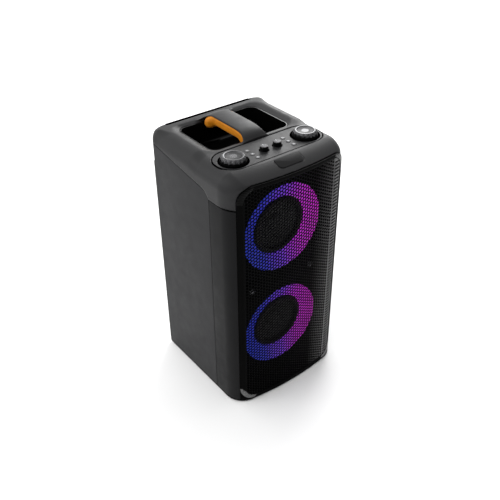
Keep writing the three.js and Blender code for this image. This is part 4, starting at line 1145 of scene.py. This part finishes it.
def build_grille():
    """Hexagonal holes over the front, drawn out into level slots where the sheet turns the corners."""
    column_step = HOLE_PITCH * math.sqrt(3) / 2
    half = GRILLE_REACH + 3
    low, high = frame_low[2] + MARGIN - 4, frame_high[2] - MARGIN + 4
    hexagon = np.stack([np.cos(np.arange(6) * math.pi / 3), np.sin(np.arange(6) * math.pi / 3)], axis=1)
    cell, hole = HOLE_PITCH / math.sqrt(3), HOLE_FLAT / math.sqrt(3)
    rows = int((high - low) / HOLE_PITCH) + 2
    sheet = Sheet()
    for column in range(-SLOT_COLUMNS[-1], SLOT_COLUMNS[1] + 1):
        s = column * column_step
        for row in range(rows):
            z = low + row * HOLE_PITCH + (HOLE_PITCH / 2 if column % 2 else 0)
            if not inside_grille(s, z, half, low, high, 1.5):
                continue
            centre = np.array([s, z])
            sheet.hole(
                centre + cell * hexagon, centre + (hole + HOLE_ROUND) * hexagon, centre + hole * hexagon
            )
    for side, last in SLOT_COLUMNS.items():
        start = last * column_step + cell
        notch = start - cell / 2
        along = np.linspace(start, half, SLOT_STEPS + 1)

        def placed(points):
            points = [(side * a, b) for a, b in points]
            return points if side > 0 else points[::-1]

        for row in range(rows):
            z = low + row * HOLE_PITCH + (HOLE_PITCH / 2 if last % 2 else 0)
            top = z + HOLE_PITCH
            centre = z + HOLE_PITCH / 2
            if not all(inside_grille(start - cell, height, half, low, high, 1.5) for height in (z, top)):
                continue
            end = start
            while end < half - 4 and inside_grille(end + 0.5, centre, half, low, high, SLOT_HEIGHT + 1.5):
                end += 0.5
            sheet.patch(placed([(notch, centre), (start, z), (start, top)]))
            outline = [(a, z) for a in along] + [(a, top) for a in along[::-1]]
            if end - start < 6:
                sheet.patch(placed(outline))
                continue
            inner = np.linspace(start + 1.6, end, SLOT_STEPS + 1)
            edges = []
            for grow in (HOLE_ROUND, 0):
                lift = np.full(SLOT_STEPS + 1, SLOT_HEIGHT / 2 + grow)
                lift[[0, -1]] *= 0.55
                edges.append([(a, centre - b) for a, b in zip(inner, lift)]
                             + [(a, centre + b) for a, b in zip(inner[::-1], lift[::-1])])
            sheet.hole(placed(outline), placed(edges[0]), placed(edges[1]))
    sheet.close_rim()
    flat = np.array(sheet.verts)
    shaped = front_point(flat[:, 0], flat[:, 1], flat[:, 2])
    piece("perforated_grille", shaped, sheet.faces, POWDER,
          stands_for=["grille"], slot="grille_steel", crease=20)


build_grille()

# ---- Woofers, rings and tweeters ----------------------------------------------------------------

SURROUND_SECTORS = 12
SECTOR_STEPS = 10


def build_surround(level, profile, centre_z):
    """The roll in sectors, each turned from the same half-roll profile, from the cone to the cabinet."""
    for i in range(SURROUND_SECTORS):
        start = 2 * math.pi * i / SURROUND_SECTORS
        end = 2 * math.pi * (i + 1) / SURROUND_SECTORS
        verts, faces = turned_sector(profile, start, end, SECTOR_STEPS, (0, 0, centre_z))
        node = f"{level}_woofer_surround"
        obj = piece(f"{level}_surround_roll_{i + 1}", verts, faces, ROLL, None,
                    [node] if i == 0 else (), "rubber", 50)
        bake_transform(obj)


def build_drivers():
    for level in ("lower", "upper"):
        centre = middle(f"{level}_light_ring")
        place = (0, 0, centre[2])
        lit = lit_ring(f"{level}_ring_light").material
        funnel = filleted(
            [(100, -107), (98, -107.6), (66.5, -94.6), (66.5, -92.6), (99.8, -103.6)], [1, 1.5, 1, 1, 1], 4
        )
        piece(f"{level}_ring_guide", *turned(funnel, 144, "y", place), lit,
              stands_for=[f"{level}_light_ring"], slot="ring_violet", crease=40)
        cone_centre = middle(f"{level}_woofer_cone")
        paper = pulp(f"{level}_cone_pulp", cone_centre[2]).material
        cap = [(0, -85.5), (6, -85.2), (12, -83.8), (17, -81.2), (20, -78.2)]
        wall = [(20 + 32.5 * t, -77.6 - 13.4 * t**1.25) for t in np.linspace(0, 1, 14)]
        back = [(r, y + 1.2) for r, y in wall[::-1]]
        stem = [(19, -75), (15, -73), (15, -54), (13.5, -54), (13.5, -74), (0, -74)]
        cone = np.array(cap + wall + back + stem)
        piece(f"{level}_cone_paper", *turned(cone, 120, "y", place), paper, f"{level}_cone",
              [f"{level}_woofer_cone"], "paper_cone", 40)
        roll = arc(58, -92.4, 5.6, -math.pi, 0, 16)
        under = arc(58, -92.0, 4.6, 0, -math.pi, 16)
        surround = np.concatenate([[(50.5, -92.6)], roll, [(66, -93), (66, -91.6)], under, [(50.5, -91.4)]])
        build_surround(level, surround, centre[2])
        for node, material in (("led_board", BOARD), ("woofer_basket", STEEL), ("woofer_magnet", FERRITE)):
            paint(f"{level}_{node}", material)


def build_tweeters():
    horn = filleted(
        [(9, -106.8), (13, -105.4), (19, -107.8), (25, -109.2), (27, -108.6),
         (27, -106.3), (20, -106.3), (20, -84), (0, -84), (0, -106.8)],
        [0.5, 1, 2, 1, 0.6, 0.3, 1, 1, 0, 0], 4,
    )
    for side in ("left", "right"):
        centre = middle(f"{side}_tweeter")
        place = (centre[0], 0, centre[2])
        rounded = arc(0, -103.2, 9, math.pi / 2, 0, 14) * (1, -1) + (0, -206.4)
        dome = np.concatenate([rounded, [(9, -101), (0, -101)]])
        piece(f"{side}_tweeter_horn", *turned(horn, 72, "y", place), SATIN,
              stands_for=[f"{side}_tweeter"], slot="satin_black")
        piece(f"{side}_tweeter_dome", *turned(dome, 48, "y", place), TITANIUM, slot="satin_black")


def paint(node, material):
    """Gives a CAD node that stays in view its finish."""
    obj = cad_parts[node]
    obj.data.materials.clear()
    obj.data.materials.append(material)


build_drivers()
build_tweeters()

# ---- Handle: tub and grip -----------------------------------------------------------------------


def build_tub():
    floor, top = tub_low[2], tub_high[2]
    rings = []

    def ring(inward, height):
        outline = rounded_rectangle(
            tub_low[0] + inward, tub_high[0] - inward, tub_low[1] + inward, tub_high[1] - inward,
            max(OPENING_RADIUS - inward, 2), 12,
        )
        rings.append(np.c_[outline, np.full(len(outline), height)])

    ring(9, floor)
    for t in np.linspace(0, math.pi / 2, 7):
        ring(7 * (1 - math.sin(t)), floor + 7 * (1 - math.cos(t)))
    ring(0, top - 0.4)
    ring(0.4, top)
    ring(2.1, top)
    ring(2.5, top - 0.4)
    for t in np.linspace(0, math.pi / 2, 9):
        ring(2.5 + 9 * (1 - math.cos(t)), floor + 3 + 9 * (1 - math.sin(t)))
    faces = rings_to_faces(len(rings), len(rings[0]))
    piece("handle_tub_liner", np.concatenate(rings), faces, GLOSS,
          stands_for=["handle_tub"], slot="gloss_black")


def build_grip():
    """Soft pad under the bar's cap, turned down at both ends, with a rounded knob at the rear."""
    low, high = np.array(grip_low), np.array(grip_high)
    high[2] += 2
    low[0], high[0] = low[0] - 3, high[0] + 3
    step = 1.0
    x, y, z = field_grid(low, high, step)
    top = bar_height(y, FRAME_Z - 9, BAR_CREST_Z - CAP_DEPTH - 0.6)
    ends = np.abs(y - (OPENING_Y[0] + OPENING_Y[1]) / 2) - (OPENING_Y[1] - OPENING_Y[0]) / 2 + 1.2
    underside = GRIP_UNDERSIDE_Z - (GRIP_UNDERSIDE_Z - grip_low[2]) * smooth_step(ends, -22, -6)
    pad = round_meet(np.abs(x) - BAR_HALF_WIDTH - 0.6, underside - z, 7)
    pad = round_meet(pad, z - top, 2)
    pad = round_meet(pad, ends, 5)
    knob = rectangle_field(x, y, grip_low[0], grip_high[0], grip_high[1] - 24, grip_high[1] + 0.5, 12)
    knob = round_meet(knob, np.maximum(z - top + 1, grip_low[2] + 1 - z), 9)
    grip = round_join(pad, knob, 7)
    verts, faces = field_mesh(grip, low, step)
    obj = piece("orange_grip_pad", verts, faces, GRIP,
                stands_for=["handle_grip"], slot="grip_orange", crease=None)
    thin_out(obj, 0.5)


build_tub()
build_grip()

# ---- Control panel and what is on it ------------------------------------------------------------

WELL_RADIUS = 31
TRIM_HOLE_RADIUS = 10.7
BUTTON_HOLE_RADIUS = 5


def ring_points(x, y, radius, steps=72):
    return arc(x, y, radius, 0, 2 * math.pi, steps)[:-1]


def control_centres(pattern):
    return [middle(node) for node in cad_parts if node.endswith(pattern)]


def build_panel():
    outline = rounded_rectangle(panel_low[0], panel_high[0], panel_low[1], panel_high[1], DECK_CORNER, 24)
    holes = [ring_points(c[0], c[1], WELL_RADIUS, 96) for c in control_centres("_dial")]
    holes += [ring_points(c[0], c[1], TRIM_HOLE_RADIUS, 48) for c in control_centres("_trim_knob")]
    holes += [ring_points(c[0], c[1], BUTTON_HOLE_RADIUS, 36) for c in control_centres("_button")]
    verts, faces = pierced(outline, holes, panel_low[2], panel_high[2], 0.5)
    piece("control_deck", verts, faces, DECK, stands_for=["control_panel"], slot="panel_grey")
    paint("control_tray", STRIP)
    # Painted shade: a near-black, dull ring filling the seam round the deck, where the gap lies in shade.
    seam_shade_ring = [
        rounded_rectangle(
            panel_low[0] - grow, panel_high[0] + grow, panel_low[1] - grow, panel_high[1] + grow,
            DECK_CORNER + grow, 24,
        )
        for grow in (PANEL_SEAM - 0.1, 0.15)
    ]
    verts, faces = pierced(seam_shade_ring[0], seam_shade_ring[1:], DECK_Z - 2.8, DECK_Z - 0.2, 0.2)
    piece("control_deck_seam_shade_ring", verts, faces, STRIP, slot="gloss_black")


def build_wells():
    """A dark liner ring in each dial well."""
    for side in ("left", "right"):
        centre = middle(f"{side}_dial")
        profile = filleted(
            [(WELL_RADIUS - 0.3, DECK_Z - 3), (WELL_RADIUS - 0.3, DECK_Z - 0.2),
             (WELL_RADIUS - 1.4, DECK_Z - 0.2), (WELL_RADIUS - 2.2, DECK_Z - 3)],
            [0.2, 0.4, 0.4, 0.2], 3,
        )
        liner = turned(profile, 96, "z", (centre[0], centre[1], 0))
        piece(f"{side}_well_liner", *liner, STRIP, slot="gloss_black")


def build_dials():
    lobes = 16
    for side in ("left", "right"):
        low, high = box_mm(f"{side}_dial")
        centre = (low + high) / 2
        place = (centre[0], centre[1], 0)
        top, bottom = high[2], low[2]
        body = f"{side}_dial"
        dark = turned_metal(f"{side}_dial_face", (0.016, 0.016, 0.017, 1), 0.4, centre).material

        def scalloped(angles, radius, height):
            """Sixteen finger scallops down the side, fading out over the bevel."""
            depth = 1.9 * smooth_step(radius, 20.5, 24) * (height > bottom + 4)
            return -depth * (0.5 + 0.5 * np.cos(lobes * angles)) ** 1.6

        cap = filleted(
            [(0, top - 2.2), (16.5, top - 2.2), (17.6, top - 0.7), (20.6, top - 0.3), (24.8, top - 3.6),
             (25.4, bottom + 6.4), (24.4, bottom + 5.6), (3.6, bottom + 5.6), (3.6, top - 8), (0, top - 8)],
            [0, 1.0, 1.0, 1.6, 1.6, 0.7, 0.4, 0.2, 0.2, 0], 5,
        )
        piece(f"{side}_dial_cap", *turned(cap, lobes * 12, "z", place, scalloped), DIAL_EDGE, body,
              [f"{side}_dial"], "dial_metal", 28)
        dish = [(r, top - 1.5 - 0.9 * (1 - (r / 16) ** 2)) for r in np.linspace(0, 16, 12)]
        dish = np.array([*dish, (16.2, top - 1.7), (16.2, top - 2.9), (0, top - 2.9)])
        piece(f"{side}_dial_dish", *turned(dish, 96, "z", place), dark, body, slot="dial_metal", crease=40)
        skirt = filleted(
            [(3.6, bottom + 5.4), (25.4, bottom + 5.4), (26.4, bottom + 4.6),
             (26.4, bottom + 0.1), (3.6, bottom + 0.1)],
            [0.1, 0.6, 0.6, 0.6, 0.1], 4,
        )
        piece(f"{side}_dial_skirt", *turned(skirt, 96, "z", place), SATIN, body, slot="gloss_black")
        paint(f"{side}_dial_encoder", STEEL)


def build_trims():
    for side in ("left", "right"):
        low, high = box_mm(f"{side}_trim_knob")
        centre = (low + high) / 2
        place = (centre[0], centre[1], 0)
        top, bottom, body = high[2], low[2], f"{side}_trim_knob"

        def knurled(angles, radius, height):
            return -0.28 * (radius > 8) * (0.5 + 0.5 * np.cos(30 * angles))

        barrel = filleted(
            [(3.6, bottom), (9.4, bottom), (9.4, bottom + 1.6), (8.7, bottom + 2.2),
             (8.5, top - 1.6), (7.6, top - 0.7), (3.6, top - 0.9)],
            [0.1, 0.4, 0.4, 0.4, 0.6, 0.6, 0.1], 4,
        )
        piece(f"{side}_trim_barrel", *turned(barrel, 180, "z", place, knurled), GLOSS, body,
              [f"{side}_trim_knob"], "gloss_black", 28)
        face = filleted(
            [(0, top - 0.5), (6.4, top - 0.4), (7.2, top - 1.0), (7.0, top - 3.0), (0, top - 3.0)],
            [0, 0.6, 0.5, 0.3, 0], 4,
        )
        cap_finish = turned_metal(f"{side}_trim_face", (0.035, 0.035, 0.037, 1), 0.34, centre).material
        piece(f"{side}_trim_cap", *turned(face, 72, "z", place), cap_finish, body, slot="dial_metal")
        mark = slab(rounded_rectangle(-0.5, 0.5, 2.0, 6.2, 0.45, 4), top - 0.8, top - 0.15, 0.1)
        piece(f"{side}_trim_mark", mark[0] + place, mark[1], ICON, body, slot="button_grey")
        paint(f"{side}_trim_pot", STEEL)


def icon_shapes():
    """Plain control symbols: next, plus, minus, lamp, pause and a ring, each within 5 mm."""
    bar = rounded_rectangle(-2.2, 2.2, -0.45, 0.45, 0.3, 3)
    post = rounded_rectangle(-0.45, 0.45, -2.2, 2.2, 0.3, 3)
    triangle = filleted([(-1.4, -1.9), (1.9, 0), (-1.4, 1.9)], [0.3, 0.3, 0.3], 3)
    ring = [ring_points(0, 0, 2.1, 32), ring_points(0, 0, 1.4, 32)]
    spokes = []
    for i in range(6):
        turn = np.array(Matrix.Rotation(i * math.pi / 3, 2))
        spokes.append((rounded_rectangle(1.5, 2.6, -0.28, 0.28, 0.2, 3) @ turn.T, []))
    return {
        "left_rear": [(bar, [])],
        "left_middle": [(triangle, [])],
        "left_front": [(bar, []), (post, [])],
        "right_rear": [(ring[0], [ring[1]])],
        "right_middle": [(ring_points(0, 0, 1.0, 24), []), *spokes],
        "right_front": [(post + (-1.0, 0), []), (post + (1.0, 0), [])],
    }


def build_buttons():
    shapes = icon_shapes()
    for key, strokes in shapes.items():
        node = f"{key}_button"
        low, high = box_mm(node)
        centre = (low + high) / 2
        place = np.array([centre[0], centre[1], 0])
        top = high[2]
        button = filleted(
            [(0, top - 0.25), (3.6, top - 0.1), (4.6, top - 0.5), (4.6, DECK_Z - 3.5), (2.2, DECK_Z - 3.5),
             (2.2, low[2]), (0, low[2])],
            [0, 0.6, 0.5, 0.3, 0.2, 0.3, 0], 4,
        )
        piece(f"{key}_button_cap", *turned(button, 48, "z", place), BUTTON, node, [node], "button_grey")
        raised = [pierced(outline, holes, top - 0.5, top + 0.12, 0.08, "z", 2) for outline, holes in strokes]
        verts, faces = merged(*raised)
        piece(f"{key}_button_icon", verts + place, faces, ICON, node, slot="button_grey")


build_panel()
build_wells()
build_dials()
build_trims()
build_buttons()

# ---- Back of the body ---------------------------------------------------------------------------


def screw(x, z, y):
    head = filleted(
        [(0, y + 1.6), (2.2, y + 1.5), (3.4, y + 0.6), (3.5, y), (0, y)], [0, 0.5, 0.4, 0.2, 0], 3
    )
    return turned(head, 32, "y", (x, 0, z))


def build_cover():
    outline = rounded_rectangle(cover_low[0], cover_high[0], cover_low[2], cover_high[2], 4, 6)
    port, plate = middle("bass_port_tube"), box_mm("connection_plate")
    holes = [
        ring_points(port[0], port[2], 36.3, 72),
        rounded_rectangle(plate[0][0] - 0.3, plate[1][0] + 0.3, plate[0][2] - 0.3, plate[1][2] + 0.3, 4, 6),
    ]
    sheet = pierced(outline[:, ::-1], [hole[:, ::-1] for hole in holes], BACK_Y - 3, BACK_Y, 0.6, "y")
    lip_outline = rounded_rectangle(cover_low[0], cover_high[0], 142.3, BACK_Y - 0.1, 3.6, 8)
    lip = slab(lip_outline, 569, cover_high[2], 0.8)
    piece("rear_cover_sheet", *sheet, COVER, stands_for=["rear_cover"], slot="satin_black")
    piece("rear_cover_lip", *lip, STRIP, slot="satin_black")
    heads = []
    for x in (cover_low[0] + 9, cover_high[0] - 9):
        for z in (40, 150, 260, 370, 480, 550):
            heads.append(screw(x, z, BACK_Y - 1.4))
    for x in (-20, 20):
        heads.append(screw(x, 470, BACK_Y - 1.4))
    verts, faces = merged(*heads)
    piece("rear_screws", verts, faces, STEEL, slot="steel")


def build_port():
    centre = middle("bass_port_tube")
    flare = arc(36, 139.6, 10.2, math.pi, math.pi / 2 + 0.25, 12)
    tube = [(28, 62), (25.8, 62)]
    flange = [(36, BACK_Y - 0.2), (36, BACK_Y - 3), (28, BACK_Y - 3)]
    profile = np.concatenate([tube, flare, flange])
    piece("port_flare", *turned(profile, 96, "y", (centre[0], 0, centre[2])), SATIN,
          stands_for=["bass_port_tube"], slot="satin_black", crease=35)


def build_inside():
    for node, material in {
        "cabinet_box": WOOD, "cabinet_back": WOOD, "front_baffle": SATIN, "amplifier_board": BOARD,
        "power_supply": STEEL, "battery_pack": BATTERY, "control_board": BOARD,
        "connection_plate": COVER, "power_inlet": GLOSS, "usb_port": STEEL, "microphone_jack": GLOSS,
    }.items():
        paint(node, material)


build_cover()
build_port()
build_inside()

# ---- Stage, light and camera --------------------------------------------------------------------


def build_stage():
    mesh = bpy.data.meshes.new("floor")
    half = 30
    corners = [(-half, -half, 0), (half, -half, 0), (half, half, 0), (-half, half, 0)]
    mesh.from_pydata(corners, [], [(0, 1, 2, 3)])
    floor = bpy.data.objects.new("floor", mesh)
    bpy.context.scene.collection.objects.link(floor)
    pale = Finish("floor_paper", 0.8)
    tone = pale.spread(pale.noise(3, 3), 0, 1)
    pale.colour(pale.mix(tone, (0.93, 0.93, 0.93, 1), (0.95, 0.95, 0.95, 1)))
    mesh.materials.append(pale.material)


def area_light(name, place, target, size, power):
    data = bpy.data.lights.new(name, "AREA")
    data.shape = "RECTANGLE"
    data.size, data.size_y = size
    data.energy = power
    light = bpy.data.objects.new(name, data)
    bpy.context.scene.collection.objects.link(light)
    light.location = place
    light.rotation_mode = "QUATERNION"
    light.rotation_quaternion = (Vector(target) - Vector(place)).to_track_quat("-Z", "Y")


def build_world():
    """A soft studio: brighter above and behind the speaker than in front of it."""
    world = bpy.data.worlds.new("studio")
    bpy.context.scene.world = world
    world.use_nodes = True
    nodes, links = world.node_tree.nodes, world.node_tree.links
    direction = nodes.new("ShaderNodeTexCoord").outputs["Generated"]
    facing = nodes.new("ShaderNodeVectorMath")
    facing.operation = "DOT_PRODUCT"
    facing.inputs[1].default_value = Vector((-0.15, 0.75, 0.65)).normalized()
    links.new(direction, facing.inputs[0])
    spread = nodes.new("ShaderNodeMapRange")
    spread.interpolation_type = "SMOOTHSTEP"
    spread.inputs["From Min"].default_value = -0.5
    spread.inputs["From Max"].default_value = 0.9
    spread.inputs["To Min"].default_value = 0.22
    spread.inputs["To Max"].default_value = 1.65
    links.new(facing.outputs["Value"], spread.inputs["Value"])
    links.new(spread.outputs["Result"], nodes["Background"].inputs["Strength"])
    nodes["Background"].inputs["Color"].default_value = (1, 1, 1, 1)


def build_light():
    build_world()
    area_light("rim_softbox", (1.5, 1.1, 1.5), (0, 0, 0.5), (1.0, 1.4), 26)
    area_light("left_softbox", (-2.2, 0.9, 1.6), (0, 0, 0.3), (1.4, 1.4), 16)
    bpy.context.scene.view_settings.view_transform = "Standard"


def build_camera():
    azimuth, elevation, roll = math.radians(-37.45), math.radians(34.96), math.radians(-0.52)
    distance = 1.567
    level = math.cos(elevation)
    back = Vector((math.sin(azimuth) * level, -math.cos(azimuth) * level, math.sin(elevation)))
    right = Vector((math.cos(azimuth), math.sin(azimuth), 0))
    target = Vector((0, 0, 0.291)) - right * 0.0027
    data = bpy.data.cameras.new("camera")
    data.lens = 50.2
    data.sensor_width = 36
    camera = bpy.data.objects.new("camera", data)
    bpy.context.scene.collection.objects.link(camera)
    camera.location = target + back * distance
    camera.rotation_mode = "QUATERNION"
    look = (-back).to_track_quat("-Z", "Y")
    camera.rotation_quaternion = look @ Matrix.Rotation(roll, 3, "Z").to_quaternion()
    bpy.context.scene.camera = camera


build_stage()
build_light()
build_camera()
